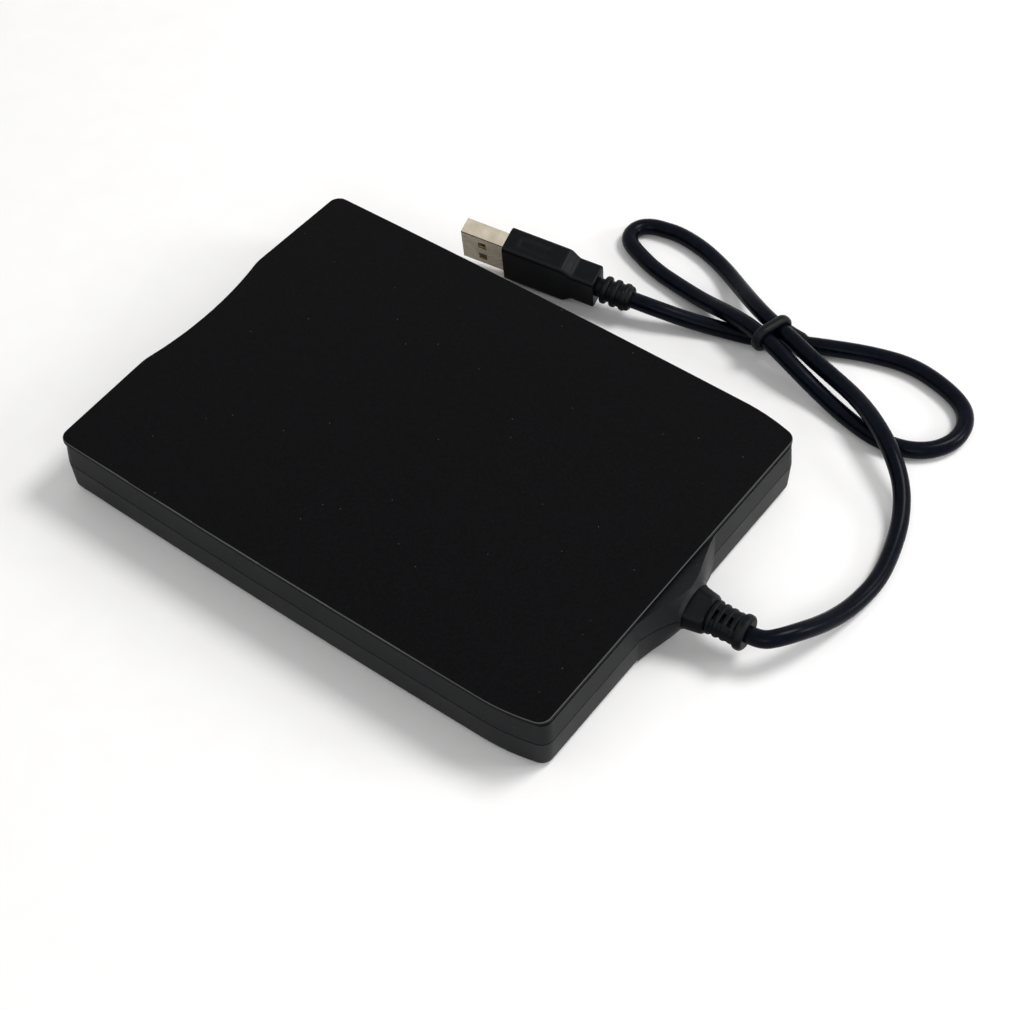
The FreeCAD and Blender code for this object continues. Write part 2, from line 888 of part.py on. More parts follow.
def make_front_bezel():
    body = case_block(bezel_inset, bezel_bottom_z, bezel_top_z)
    body = body.common(box(-bezel_half_width, bezel_half_width, front_y - 10, bezel_back_y, 0, bezel_top_z))
    ears = both_sides(box(ear_inner_x, ear_outer_x, bezel_back_y - 0.2, bezel_back_y - 0.2 + ear_length,
                          bezel_top_z - ear_drop, bezel_top_z))
    body = joined([body] + ears)
    lens_hole = lens_block(lens_gap, front_y - 10, front_y + 10)
    pin_hole = rod(door_pin_radius + running_gap, Vec(-ear_outer_x - 1, door_axis_y, door_axis_z), X_AXIS,
                   2 * ear_outer_x + 2)
    button_hole = button_block(button_gap, front_y - 10, front_y + 10)
    return less(body, [slot_space(), slot_mouth(), finger_scoop(), button_hole, lens_hole, pin_hole])


def slot_mouth():
    # the lower lip of the slot slopes down to the front
    start_y = front_y + lip_slope_depth
    outer_y = front_y - 1
    points = [Vec(-slot_half_width, outer_y, slot_bottom_z - lip_slope),
              Vec(-slot_half_width, start_y, slot_bottom_z),
              Vec(-slot_half_width, outer_y, slot_bottom_z + 1)]
    face = Part.Face(Part.makePolygon(points + [points[0]]))
    return face.extrude(Vec(2 * slot_half_width, 0, 0))


def finger_scoop():
    # a shallow dish in the middle of the lower lip, for the thumb that pushes the disk home
    dish = rod(scoop_radius, Vec(0, front_y - scoop_centre_out, scoop_bottom_z), Z_AXIS,
               slot_bottom_z - scoop_bottom_z + 0.5)
    reach = scoop_radius + 1
    return dish.common(box(-reach, reach, front_y - 50, front_y + scoop_depth, 0, slot_top_z))


def rounded_bar(x, half, z0, z1, y0, y1, radius):
    block = box(x - half, x + half, y0, y1, z0, z1)
    edges = [e for e in block.Edges if e.BoundBox.YLength > 1]
    return block.makeFillet(radius, edges)


def button_block(margin, y0, y1):
    return rounded_bar(button_x, button_width / 2 + margin, button_bottom_z - margin, button_top_z + margin,
                       y0, y1, button_corner_radius + margin)


def make_eject_button():
    cap_back_y = front_y + button_back
    cap = button_block(0, button_front_y, cap_back_y)
    rim = [e for e in cap.Edges if e.BoundBox.YMax < button_front_y + 0.01]
    cap = cap.makeFillet(button_edge_radius, rim)
    stem_z = button_bottom_z + stem_lift
    stem = box(button_x - stem_width / 2, button_x + stem_width / 2, cap_back_y - 0.1, slider_foot_y,
               stem_z, stem_z + stem_height)
    return cap.fuse(stem)


def make_dust_door():
    half_sheet = door_sheet / 2
    half = door_half_width
    bottom_z = slot_bottom_z + door_slot_gap
    leaf = box(-half, half, door_axis_y - half_sheet, door_axis_y + half_sheet, bottom_z, door_axis_z)
    roll = rod(door_roll_radius, Vec(-half, door_axis_y, door_axis_z), X_AXIS, 2 * half)
    pin_half = ear_outer_x - 0.1
    pin = rod(door_pin_radius, Vec(-pin_half, door_axis_y, door_axis_z), X_AXIS, 2 * pin_half)
    rib_z = bottom_z + 0.45
    rib = box(2 - half, half - 2, door_axis_y + half_sheet - 0.1, door_axis_y + half_sheet + 0.5,
              rib_z, rib_z + door_rib_width)
    notch = box(door_spring_x - body_gap, door_spring_x + door_spring_length + body_gap, door_axis_y - 2,
                door_axis_y + 2, door_axis_z - 1.0, door_axis_z + 2)
    return joined([leaf, roll, rib]).cut(notch).fuse(pin)


def make_door_spring():
    # a small torsion spring wound on the hinge pin, one leg down the back of the door
    coil = spring_coil(door_spring_radius, door_spring_wire, door_spring_pitch, door_spring_length)
    coil.rotate(Vec(0, 0, 0), Z_AXIS, -90)
    coil.translate(Vec(door_spring_x, door_axis_y, door_axis_z))
    end_x = door_spring_x + door_spring_length
    leg_y = door_axis_y + door_sheet / 2 + door_spring_wire
    leg = rod(door_spring_wire, Vec(end_x, leg_y, door_axis_z), Vec(0, 0, -1), door_spring_leg)
    link = rod(door_spring_wire, Vec(end_x, door_axis_y - 0.1, door_axis_z + door_spring_radius), Y_AXIS, 0.6)
    return joined([coil, leg, link])


def lens_block(margin, y0, y1):
    half_width = lens_width / 2 + margin
    half_height = lens_height / 2 + margin
    return box(lamp_x - half_width, lamp_x + half_width, y0, y1, lamp_z - half_height, lamp_z + half_height)


def make_lamp_lens():
    face_y = front_y + lens_proud
    flange_y = bezel_back_y + lens_flange_depth
    lens = lens_block(0, face_y, flange_y)
    edges = [e for e in lens.Edges if e.BoundBox.YMax < face_y + 0.01]
    flange = lens_block(lens_flange, bezel_back_y, flange_y)
    return lens.makeFillet(lens_edge_radius, edges).fuse(flange)


def make_switch_boards():
    left = box(-switch_board_x, left_board_length - switch_board_x, board_front_y, board_rear_y,
               frame_top_z, motor_board_top_z)
    right = box(switch_board_x - right_board_length, switch_board_x, board_front_y, board_rear_y,
                frame_top_z, motor_board_top_z)
    return Part.makeCompound([left, right])


def make_lamp():
    base = box(lamp_x - lamp_body_width / 2, lamp_x + lamp_body_width / 2, board_front_y,
               board_front_y + lamp_body_length, motor_board_top_z, lamp_z + lamp_body_rise)
    dome_y = bezel_back_y + lens_flange_depth
    dome = rod(lamp_dome_radius, Vec(lamp_x, dome_y, lamp_z), Y_AXIS, board_front_y + 0.1 - dome_y)
    return joined([base, dome])


def make_switch_body(name):
    x = switch_spots[name]
    body = box(x - switch_width / 2, x + switch_width / 2, switch_y - switch_length / 2,
               switch_y + switch_length / 2, motor_board_top_z, switch_top_z)
    edges = [e for e in body.Edges if e.BoundBox.ZMin > switch_top_z - 0.01]
    body = body.makeChamfer(switch_edge, edges)
    well_z = motor_board_top_z + plunger_seat
    return body.cut(rod(plunger_radius + running_gap, Vec(x, switch_y, well_z), Z_AXIS, switch_top_z))


def make_plunger(name):
    x = switch_spots[name]
    bottom = motor_board_top_z + plunger_seat + plunger_travel + 0.1
    stem = rod(plunger_radius, Vec(x, switch_y, bottom), Z_AXIS, plunger_top_z - bottom)
    rim = [e for e in stem.Edges if e.BoundBox.ZMin > plunger_top_z - 0.01]
    return stem.makeFillet(plunger_tip_radius, rim)


def stadium_slot(x, y0, z0, y1, z1, radius):
    # a slot through a wall that faces X, from one pin place to the other
    length = math.hypot(y1 - y0, z1 - z0)
    angle = math.degrees(math.atan2(z1 - z0, y1 - y0))
    middle = box(x - 2, x + 2, 0, length, -radius, radius)
    slot = joined([middle, rod(radius, Vec(x - 2, 0, 0), X_AXIS, 4),
                   rod(radius, Vec(x - 2, length, 0), X_AXIS, 4)])
    slot.rotate(Vec(0, 0, 0), X_AXIS, angle)
    slot.translate(Vec(0, y0, z0))
    return slot


def ribbon_gap():
    left = ribbon_left_x - 0.5
    return box(left, left + ribbon_width + 1, frame_rear_y - frame_sheet - 1, frame_rear_y + 1,
               logic_top_z + 0.1, ribbon_z + ribbon_sheet + 0.8)


def make_chassis():
    half = frame_half_width
    base = box(-half, half, frame_front_y, frame_rear_y, frame_bottom_z, frame_top_z)
    walls = both_sides(box(frame_inner_x, half, frame_front_y, frame_rear_y, frame_bottom_z, shield_z))
    back = box(-half, half, frame_rear_y - frame_sheet, frame_rear_y, frame_bottom_z, shield_z)
    root_z = frame_top_z - 0.2
    posts = []
    for x in (-rod_x, rod_x):
        for y in (rod_front_y - rod_seat, rod_front_y + rod_length + rod_seat - rod_post_length):
            posts.append(box(x - rod_post_width / 2, x + rod_post_width / 2, y, y + rod_post_length,
                             root_z, rod_z + rod_post_rise))
    for x, y in logic_post_spots:
        posts.append(rod(logic_post_radius, Vec(x, y, root_z), Z_AXIS, logic_board_z - root_z))
    for side in (-1, 1):
        posts.append(rod(spring_post_radius, Vec(side * spring_x, spring_post_y, root_z), Z_AXIS,
                         spring_z + 0.7 - root_z))
    body = joined([base, back] + walls + posts)
    cutters = [ribbon_gap()]
    for x in (-rod_x, rod_x):
        cutters.append(rod(rod_radius, Vec(x, rod_front_y, rod_z), Y_AXIS, rod_length))
    for y in lift_pin_ys:
        for side in (-1, 1):
            cutters.append(stadium_slot(side * half, y, lift_pin_z, y, lift_pin_z - holder_drop,
                                        lift_pin_radius + running_gap))
    for x, y in frame_screw_spots:
        cutters.append(rod(frame_screw_radius, Vec(x, y, 0), Z_AXIS, frame_top_z + 1))
    hole_x = frame_inner_x - frame_hole_from_side
    for y in (spindle_y - 9, spindle_y + 13, rail_rear_y - 8):
        for x in (-hole_x, hole_x):
            cutters.append(rod(frame_hole_radius, Vec(x, y, 0), Z_AXIS, frame_top_z + 1))
    return less(body, cutters)


def make_top_shield():
    plate = box(-frame_half_width, frame_half_width, frame_front_y, frame_rear_y, shield_z,
                shield_z + shield_sheet)
    cutters = [rod(shield_hole_radius, Vec(0, spindle_y, shield_z - 1), Z_AXIS, 3)]
    half_length = shield_slot_length / 2
    half_width = shield_slot_width / 2
    for x in (-shield_slot_x, shield_slot_x):
        for y in (frame_front_y + 15, head_y - 12.5, frame_rear_y - 13.5):
            cutters.append(box(x - half_length, x + half_length, y - half_width, y + half_width,
                               shield_z - 1, shield_z + 2))
    return less(plate, cutters)


def make_holder():
    half = holder_half_width
    wall_top_z = holder_plate_z + 0.1
    plate = box(-half, half, holder_front_y, holder_rear_y, holder_plate_z, holder_top_z)
    walls = both_sides(box(holder_inner_x, half, holder_front_y, holder_rear_y, holder_lip_z, wall_top_z))
    lips = both_sides(box(holder_inner_x - holder_lip_width, half, holder_front_y, holder_rear_y,
                          holder_lip_z, holder_lip_z + holder_sheet))
    stop_y = holder_rear_y - holder_flange_sheet
    left_stop = box(-half, -carriage_half_width - body_gap, stop_y, holder_rear_y, holder_lip_z, wall_top_z)
    right_stop = box(screw_x + motor_radius + 1, half, stop_y, holder_rear_y, holder_lip_z, wall_top_z)
    body = joined([plate, left_stop, right_stop] + walls + lips)
    arm_cut = box(-arm_cut_half_width, arm_cut_half_width, head_y - head_travel - arm_cut_margin,
                  holder_rear_y + 10, holder_lip_z - 1, holder_top_z + 1)
    cutters = [arm_cut, lever_slot(), rod(rivet_radius, Vec(lever_x, lever_y, holder_lip_z), Z_AXIS, 10)]
    half_length = holder_slot_length / 2
    for x in (-holder_slot_x, holder_slot_x):
        for start, width in ((front_slot_from_disk_front, front_slot_width),
                             (rear_slot_from_disk_front, rear_slot_width)):
            y = disk_front_y + start
            cutters.append(box(x - half_length, x + half_length, y, y + width, holder_plate_z - 1,
                               holder_top_z + 1))
    return less(body, cutters)


def lever_slot():
    # the arc that the shutter pin sweeps, cut through the holder plate
    outer = lever_length + lever_pin_radius + body_gap
    inner = lever_length - lever_pin_radius - body_gap
    base = Vec(0, 0, holder_plate_z - 1)
    depth = holder_sheet + 2
    ring = rod(outer, base, Z_AXIS, depth).cut(rod(inner, base, Z_AXIS, depth))
    margin = math.degrees(0.1 / lever_length)
    far = 3 * lever_length
    first = math.radians(lever_start - margin)
    last = math.radians(lever_start + lever_swing + margin)
    wedge = polygon_plate([(0, 0), (far * math.cos(first), far * math.sin(first)),
                           (far * math.cos(last), far * math.sin(last))], base.z, base.z + depth)
    arc = ring.common(wedge)
    ends = []
    for angle in (first, last):
        centre = Vec(lever_length * math.cos(angle), lever_length * math.sin(angle), base.z)
        ends.append(rod(lever_pin_radius + body_gap, centre, Z_AXIS, depth))
    slot = joined([arc] + ends)
    slot.translate(Vec(lever_x, lever_y, 0))
    return slot


def make_holder_pins():
    # the four lift pins in the holder's side walls, and the rivet that the shutter lever turns on
    pieces = []
    for y in lift_pin_ys:
        for side in (-1, 1):
            pieces.append(rod(lift_pin_radius, Vec(side * holder_half_width, y, lift_pin_z), Vec(side, 0, 0),
                              frame_half_width - holder_half_width - pin_end_gap))
    top = lever_z + lever_sheet + running_gap
    neck = rod(rivet_radius, Vec(lever_x, lever_y, holder_plate_z), Z_AXIS, top - holder_plate_z)
    cap = rod(rivet_cap_radius, Vec(lever_x, lever_y, top), Z_AXIS, rivet_cap_height)
    pieces.append(neck.fuse(cap))
    return Part.makeCompound(pieces)


def make_shutter_lever():
    pin_z = holder_plate_z - lever_pin_depth
    arm = box(0, lever_length, -lever_width / 2, lever_width / 2, lever_z, lever_z + lever_sheet)
    hub = rod(lever_hub_radius, Vec(0, 0, lever_z), Z_AXIS, lever_sheet)
    tip = rod(lever_tip_radius, Vec(lever_length, 0, lever_z), Z_AXIS, lever_sheet)
    pin = rod(lever_pin_radius, Vec(lever_length, 0, pin_z), Z_AXIS, lever_z + 0.1 - pin_z)
    body = joined([arm, hub, tip, pin])
    body = body.cut(rod(rivet_radius + running_gap, Vec(0, 0, holder_lip_z), Z_AXIS, 10))
    body.rotate(Vec(0, 0, 0), Z_AXIS, lever_start)
    body.translate(Vec(lever_x, lever_y, 0))
    return body


def make_eject_slider():
    sheet_top_z = slider_floor_z + slider_sheet
    rails = both_sides(box(rail_inner_x, rail_outer_x, rail_front_y, rail_rear_y, slider_floor_z,
                           holder_top_z - rail_below_holder_top))
    bridge = box(-rail_outer_x, rail_outer_x, slider_bridge_y, slider_bridge_y + slider_bridge_length,
                 slider_floor_z, sheet_top_z)
    foot = box(button_x - slider_foot_overlap, rail_outer_x, slider_foot_y, slider_foot_y + slider_foot_length,
               slider_floor_z, sheet_top_z)
    tab = box(button_x - tab_width / 2, button_x + tab_width / 2, slider_foot_y, slider_foot_y + tab_sheet,
              slider_floor_z, tab_top_z)
    hooks = both_sides(box(spring_x - hook_reach, rail_inner_x + 0.1, spring_hook_y,
                           spring_hook_y + hook_sheet, spring_z - hook_height / 2, spring_z + hook_height / 2))
    body = joined(rails + [bridge, foot, tab] + hooks)
    cutters = []
    for y in lift_pin_ys:
        for side in (-1, 1):
            cutters.append(stadium_slot(side * rail_inner_x, y, lift_pin_z, y + eject_travel,
                                        lift_pin_z - holder_drop, lift_pin_radius + running_gap))
    return less(body, cutters)


def spring_coil(radius, wire, pitch, length):
    helix = Part.makeHelix(pitch, length, radius)
    section = Part.Wire(Part.makeCircle(wire, Vec(radius, 0, 0), Y_AXIS))
    coil = Part.Wire(helix).makePipeShell([section], True, True)
    coil.rotate(Vec(0, 0, 0), X_AXIS, -90)
    return coil


def make_eject_springs():
    # tension springs: a coil, a straight end on the slider hook and a long loop round the frame post
    coil_y = spring_post_y + spring_loop_length
    coil_end_y = coil_y + spring_coil_length
    half = spring_loop_half
    front_y_of_loop = spring_post_y - spring_post_radius - running_gap - spring_wire
    springs = []
    for side in (-1, 1):
        x = side * spring_x
        coil = spring_coil(spring_radius, spring_wire, spring_pitch, spring_coil_length)
        coil.translate(Vec(x, coil_y, spring_z))
        tail = rod(spring_wire, Vec(x + spring_radius, coil_end_y, spring_z), Y_AXIS, spring_hook_y - coil_end_y)
        pieces = [coil, tail]
        for loop_x in (x - half, x + half):
            pieces.append(rod(spring_wire, Vec(loop_x, front_y_of_loop, spring_z), Y_AXIS,
                              coil_y - front_y_of_loop))
        for y in (front_y_of_loop, coil_y):
            pieces.append(rod(spring_wire, Vec(x - half - 0.1, y, spring_z), X_AXIS, 2 * half + 0.2))
        springs.append(joined(pieces))
    return Part.makeCompound(springs)


def at_spindle(radius, z0, z1):
    return rod(radius, Vec(0, spindle_y, z0), Z_AXIS, z1 - z0)


def make_motor_board():
    board = box(-motor_board_half_width, motor_board_half_width, spindle_y - motor_board_front_reach,
                spindle_y + motor_board_rear_reach, frame_top_z, motor_board_top_z)
    return board.cut(at_spindle(bearing_radius, 0, motor_board_top_z + 1))


def slotted_head(x, y, z, radius, height):
    head = rod(radius, Vec(x, y, z), Z_AXIS, height)
    slot = box(x - radius, x + radius, y - slot_cut_width / 2, y + slot_cut_width / 2,
               z + height - slot_cut_depth, z + height + 1)
    return head.cut(slot)


def make_motor_screws():
    screws = []
    for side in (-1, 1):
        x = side * (motor_board_half_width - motor_screw_inset)
        for y in (spindle_y - motor_board_front_reach + motor_screw_inset,
                  spindle_y + motor_board_rear_reach - motor_screw_inset):
            screws.append(slotted_head(x, y, motor_board_top_z, motor_screw_radius, motor_screw_height))
    return Part.makeCompound(screws)


def tooth_neck_z():
    start = stator_z + (stator_height - tooth_height) / 2
    return start, start + tooth_height


def make_stator_core():
    z0, z1 = tooth_neck_z()
    teeth = []
    for index in range(tooth_count):
        neck = box(bearing_radius + 2, tooth_length, -tooth_width / 2, tooth_width / 2, z0, z1)
        shoe = box(tooth_length, tooth_length + shoe_length, -shoe_width / 2, shoe_width / 2, z0, z1)
        tooth = neck.fuse(shoe)
        tooth.rotate(Vec(0, 0, 0), Z_AXIS, index * 360 / tooth_count)
        tooth.translate(Vec(0, spindle_y, 0))
        teeth.append(tooth)
    body = joined([at_spindle(stator_hub_radius, stator_z, stator_z + stator_height)] + teeth)
    return body.cut(at_spindle(bearing_radius, 0, stator_z + stator_height + 1))


def make_stator_coils():
    z0, z1 = tooth_neck_z()
    coils = []
    for index in range(tooth_count):
        coil = box(coil_start, coil_end, -coil_width / 2, coil_width / 2, stator_z, stator_z + stator_height)
        coil = coil.makeFillet(coil_round, [e for e in coil.Edges if e.BoundBox.XLength > 5])
        coil = coil.cut(box(coil_start - 1, coil_end + 1, -tooth_width / 2, tooth_width / 2, z0, z1))
        coil.rotate(Vec(0, 0, 0), Z_AXIS, index * 360 / tooth_count)
        coil.translate(Vec(0, spindle_y, 0))
        coils.append(coil)
    return Part.makeCompound(coils)


def make_bearing():
    sleeve = at_spindle(bearing_radius, frame_top_z, rotor_top_z - rotor_sheet - body_gap)
    return sleeve.cut(at_spindle(shaft_radius + running_gap, 0, rotor_top_z))


def make_rotor():
    rim_z = stator_z + rotor_rim_gap
    top = at_spindle(rotor_radius, rotor_top_z - rotor_sheet, rotor_top_z)
    rim = at_spindle(rotor_radius, rim_z, rotor_top_z - 0.1)
    rim = rim.cut(at_spindle(rotor_radius - rotor_wall, 0, rotor_top_z))
    return top.fuse(rim).cut(at_spindle(shaft_radius, 0, rotor_top_z + 1))


def make_magnet():
    outer = rotor_radius - rotor_wall
    ring = at_spindle(outer, stator_z + rotor_rim_gap, rotor_top_z - rotor_sheet)
    return ring.cut(at_spindle(outer - magnet_thickness, 0, rotor_top_z))


def make_hub():
    table = at_spindle(hub_radius, rotor_top_z, hub_top_z)
    rim = [e for e in table.Edges if e.BoundBox.ZMin > hub_top_z - 0.01]
    table = table.makeChamfer(hub_edge, rim)
    table = table.cut(at_spindle(shaft_radius, 0, hub_top_z + 1))
    return table.cut(rod(drive_pin_radius + running_gap, Vec(0, spindle_y + drive_pin_offset, 0), Z_AXIS,
                         hub_top_z + 1))


def make_shaft():
    top_z = hub_top_z + shaft_rise
    shaft = at_spindle(shaft_radius, frame_top_z + shaft_floor_gap, top_z)
    rim = [e for e in shaft.Edges if e.BoundBox.ZMin > top_z - 0.1]
    return shaft.makeChamfer(shaft_edge, rim)


def make_drive_pin():
    bottom_z = rotor_top_z + drive_pin_drop + 0.1
    top_z = hub_top_z + drive_pin_rise
    pin = rod(drive_pin_radius, Vec(0, spindle_y + drive_pin_offset, bottom_z), Z_AXIS, top_z - bottom_z)
    rim = [e for e in pin.Edges if e.BoundBox.ZMin > top_z - 0.1]
    return pin.makeFillet(hub_edge, rim)


def make_carriage():
    half = carriage_half_width
    top_z = carriage_top_z - 0.1
    body = box(-half, half, carriage_front_y, carriage_rear_y, carriage_bottom_z, carriage_top_z)
    tongue = box(-tongue_half_width, tongue_half_width, head_y - tongue_reach, carriage_front_y + 1,
                 carriage_bottom_z, carriage_top_z)
    post = box(-head_post_half_width, head_post_half_width, head_y - head_post_half_length,
               head_y + head_post_half_length, top_z, lower_head_z)
    tower = box(-tower_half_width, tower_half_width, tower_front_y, carriage_rear_y, top_z, tower_top_z)
    ears = both_sides(box(tower_half_width - ear_width, tower_half_width, tower_front_y, carriage_rear_y,
                          tower_top_z - 0.1, arm_pin_z + arm_knuckle_radius))
    follower_rear_y = carriage_rear_y - 0.2
    follower_y = follower_rear_y - follower_width
    follower = box(tower_half_width, screw_x - screw_radius - body_gap, follower_y, follower_rear_y,
                   carriage_bottom_z, screw_z + 0.8)
    fork = box(screw_x - screw_radius - fork_depth, screw_x + 1.4, follower_y, follower_rear_y,
               screw_z - fork_depth, screw_z - screw_radius - 0.1)
    solid = joined([body, tongue, post, tower, follower, fork] + ears)
    cutters = [box(-carriage_window_half, carriage_window_half, head_y + carriage_window_front,
                   head_y + carriage_window_rear, carriage_bottom_z - 1, carriage_top_z + 1)]
    for x in (-rod_x, rod_x):
        cutters.append(rod(rod_radius + running_gap, Vec(x, rod_front_y, rod_z), Y_AXIS, rod_length))
    cutters.append(rod(arm_pin_radius, Vec(-tower_half_width - 1, arm_pin_y, arm_pin_z), X_AXIS,
                       2 * tower_half_width + 2))
    return less(solid, cutters)


def head_block(z0, z1):
    return box(-head_width / 2, head_width / 2, head_y - head_half, head_y + head_half, z0, z1)


def head_line(z0, z1):
    return box(-head_groove / 2, head_groove / 2, head_y - 3, head_y + 3, z0, z1)


def make_lower_head():
    top_z = lower_head_z + lower_head_height
    slider = head_block(lower_head_z, top_z)
    edges = [e for e in slider.Edges if e.BoundBox.ZMin > top_z - 0.05]
    return slider.makeChamfer(0.15, edges).cut(head_line(top_z - 0.15, top_z + 1))


def make_arm_pin():
    return rod(arm_pin_radius, Vec(-tower_half_width, arm_pin_y, arm_pin_z), X_AXIS, 2 * tower_half_width)


def make_head_arm():
    top_z = arm_z + arm_sheet
    half = arm_half_width
    knuckle_half = half + arm_knuckle_side
    plate = box(-half, half, head_y - arm_front_reach, arm_pin_y, arm_z, top_z)
    knuckle = rod(arm_knuckle_radius, Vec(-knuckle_half, arm_pin_y, arm_pin_z), X_AXIS, 2 * knuckle_half)
    window = box(-arm_window_half, arm_window_half, head_y + arm_window_front, head_y + arm_window_rear,
                 arm_z - 1, top_z + 1)
    stiff = both_sides(box(half - arm_lip, half, head_y + 5.5, head_y + 20.5, top_z - 0.1,
                           top_z - 0.1 + arm_lip))
    seat = box(-2.6, 2.6, head_y - 2.4, head_y + 2.4, arm_z - arm_seat, arm_z + 0.1)
    body = joined([plate, knuckle, seat] + stiff)
    bore = rod(arm_pin_radius + running_gap, Vec(-knuckle_half - 1, arm_pin_y, arm_pin_z), X_AXIS,
               2 * knuckle_half + 2)
    return less(body, [window, bore])


def make_upper_head():
    top_z = arm_z - arm_seat
    return head_block(top_z - upper_head_height, top_z).cut(head_line(top_z - 2, top_z - 0.35))


def make_guide_rods():
    rods = [rod(rod_radius, Vec(x, rod_front_y, rod_z), Y_AXIS, rod_length) for x in (-rod_x, rod_x)]
    return Part.makeCompound(rods)


def on_screw_axis(radius, y, length):
    return rod(radius, Vec(screw_x, y, screw_z), Y_AXIS, length)


def make_stepper():
    can = on_screw_axis(motor_radius, motor_front_y, motor_length)
    groove_y = motor_front_y + motor_length / 2
    groove = on_screw_axis(motor_radius + 1, groove_y, 0.25)
    groove = groove.cut(on_screw_axis(motor_radius - motor_groove, groove_y - 0.5, 2))
    can = can.cut(groove)
    terminal_x = screw_x + motor_radius - 1.5
    terminal_y = motor_front_y + 2
    terminal = box(terminal_x, terminal_x + terminal_width, terminal_y, terminal_y + terminal_length,
                   screw_z - terminal_height / 2, screw_z + terminal_height / 2)
    bore = on_screw_axis(screw_radius + 0.1, motor_front_y - 1, 2.2)
    return can.fuse(terminal).cut(bore)


def make_bracket():
    strip_z = screw_z + bracket_strip_rise
    top_z = strip_z + bracket_strip_sheet
    half = bracket_half_width
    plate_y = motor_front_y - 0.8
    rear = box(screw_x - bracket_rear_half_width, screw_x + bracket_rear_half_width, plate_y, motor_front_y,
               frame_top_z, top_z + 2)
    strip = box(screw_x - half, screw_x + half, bracket_front_y, motor_front_y, strip_z, top_z)
    front = box(screw_x - half, screw_x + half, bracket_front_y, bracket_front_y + bracket_sheet,
                screw_z - screw_radius - 0.1, top_z)
    bores = [on_screw_axis(journal_radius + running_gap, bracket_front_y - 1, 3),
             on_screw_axis(screw_radius + 0.1, plate_y - 1, 3)]
    return less(joined([rear, strip, front]), bores)


def make_lead_screw():
    body = on_screw_axis(screw_radius, screw_front_y, screw_rear_y - screw_front_y)
    tip = on_screw_axis(journal_radius, bracket_front_y + running_gap, 2)
    helix = Part.makeHelix(screw_pitch, thread_length, screw_radius - 0.05)
    profile = Part.Wire(Part.makeCircle(thread_radius, Vec(screw_radius - 0.05, 0, 0), Y_AXIS))
    groove = Part.Wire(helix).makePipeShell([profile], True, True)
    groove.rotate(Vec(0, 0, 0), X_AXIS, -90)
    groove.translate(Vec(screw_x, screw_front_y + thread_start, screw_z))
    return body.fuse(tip).cut(groove)


def make_logic_board():
    board = box(logic_left_x, logic_right_x, logic_front_y, logic_rear_y, logic_board_z, logic_top_z)
    holes = [rod(post_hole_radius, Vec(x, y, 0), Z_AXIS, logic_top_z + 1) for x, y in logic_post_spots]
    return less(board, holes)


def flat_chip(x, y, z, length, depth, pins):
    # a moulded chip with short leads on two sides
    body = box(x - length / 2, x + length / 2, y - depth / 2, y + depth / 2, z + chip_stand, z + chip_height)
    pieces = [body]
    pitch = length / (pins + 1)
    reach = depth / 2 + chip_lead_length
    for index in range(pins):
        lead_x = x - length / 2 + pitch * (index + 1)
        pieces.append(box(lead_x - chip_lead_width / 2, lead_x + chip_lead_width / 2, y - reach, y + reach,
                          z, z + chip_lead_sheet))
    return joined(pieces)


def resistor_row(x, y, z, pitch, count):
    return [box(x + pitch * index, x + pitch * index + resistor_length, y, y + resistor_depth, z,
                z + resistor_depth) for index in range(count)]


def make_logic_chips():
    middle_y = (logic_front_y + logic_rear_y) / 2
    parts = [flat_chip(logic_left_x + 11.5, middle_y - 0.75, logic_top_z, big_chip_length, big_chip_depth, 10),
             flat_chip(logic_left_x + 22.5, middle_y - 2.75, logic_top_z, small_chip_length,
                       small_chip_depth, 6)]
    parts += resistor_row(logic_left_x + 18.5, middle_y + 1.35, logic_top_z, resistor_pitch, logic_resistors)
    return Part.makeCompound(parts)


def make_ribbon():
    # the flat cable from the logic board to the USB bridge board
    left = ribbon_left_x
    right = left + ribbon_width
    top_z = ribbon_z + ribbon_sheet
    front = logic_rear_y - 3.5
    fold = front + ribbon_foot_length
    end = bridge_front_y + ribbon_reach
    foot = box(left, right, front, fold, logic_top_z, logic_top_z + 0.5)
    riser = box(left, right, fold - 0.6, fold, logic_top_z, top_z)
    run = box(left, right, fold - 0.6, end, ribbon_z, top_z)
    heel = box(left, right, end - 0.8, end, bridge_top_z, top_z)
    return joined([foot, riser, run, heel])


def make_bridge_board():
    half = bridge_board_half_length
    board = box(-half, half, bridge_front_y, bridge_rear_y, bridge_board_z, bridge_top_z)
    holes = [rod(1.0, Vec(x, bridge_post_y, 0), Z_AXIS, bridge_top_z + 1) for x in (-bridge_post_x, bridge_post_x)]
    return less(board, holes)


def make_bridge_chips():
    z = bridge_top_z
    middle_y = (bridge_front_y + bridge_rear_y) / 2
    chip = flat_chip(bridge_chip_x, middle_y - 0.15, z, bridge_chip_length, bridge_chip_depth, 9)
    crystal = box(crystal_x - crystal_length / 2, crystal_x + crystal_length / 2,
                  middle_y - 0.15 - crystal_depth / 2, middle_y - 0.15 + crystal_depth / 2, z, z + chip_height)
    socket_rear_y = bridge_rear_y - 1.0
    socket = box(-plug_block_half, plug_block_half, socket_rear_y - plug_block_depth, socket_rear_y, z,
                 z + plug_block_height)
    row = resistor_row(-20, middle_y, z, 2.0, bridge_resistors)
    return Part.makeCompound([chip, crystal, socket] + row)


def make_board_screws():
    screws = []
    for x in (-bridge_post_x, bridge_post_x):
        head = slotted_head(x, bridge_post_y, bridge_top_z, board_screw_head_radius, board_screw_head_height)
        shank = rod(board_screw_radius, Vec(x, bridge_post_y, bridge_board_z), Z_AXIS, board_sheet + 0.1)
        screws.append(head.fuse(shank))
    return Part.makeCompound(screws)


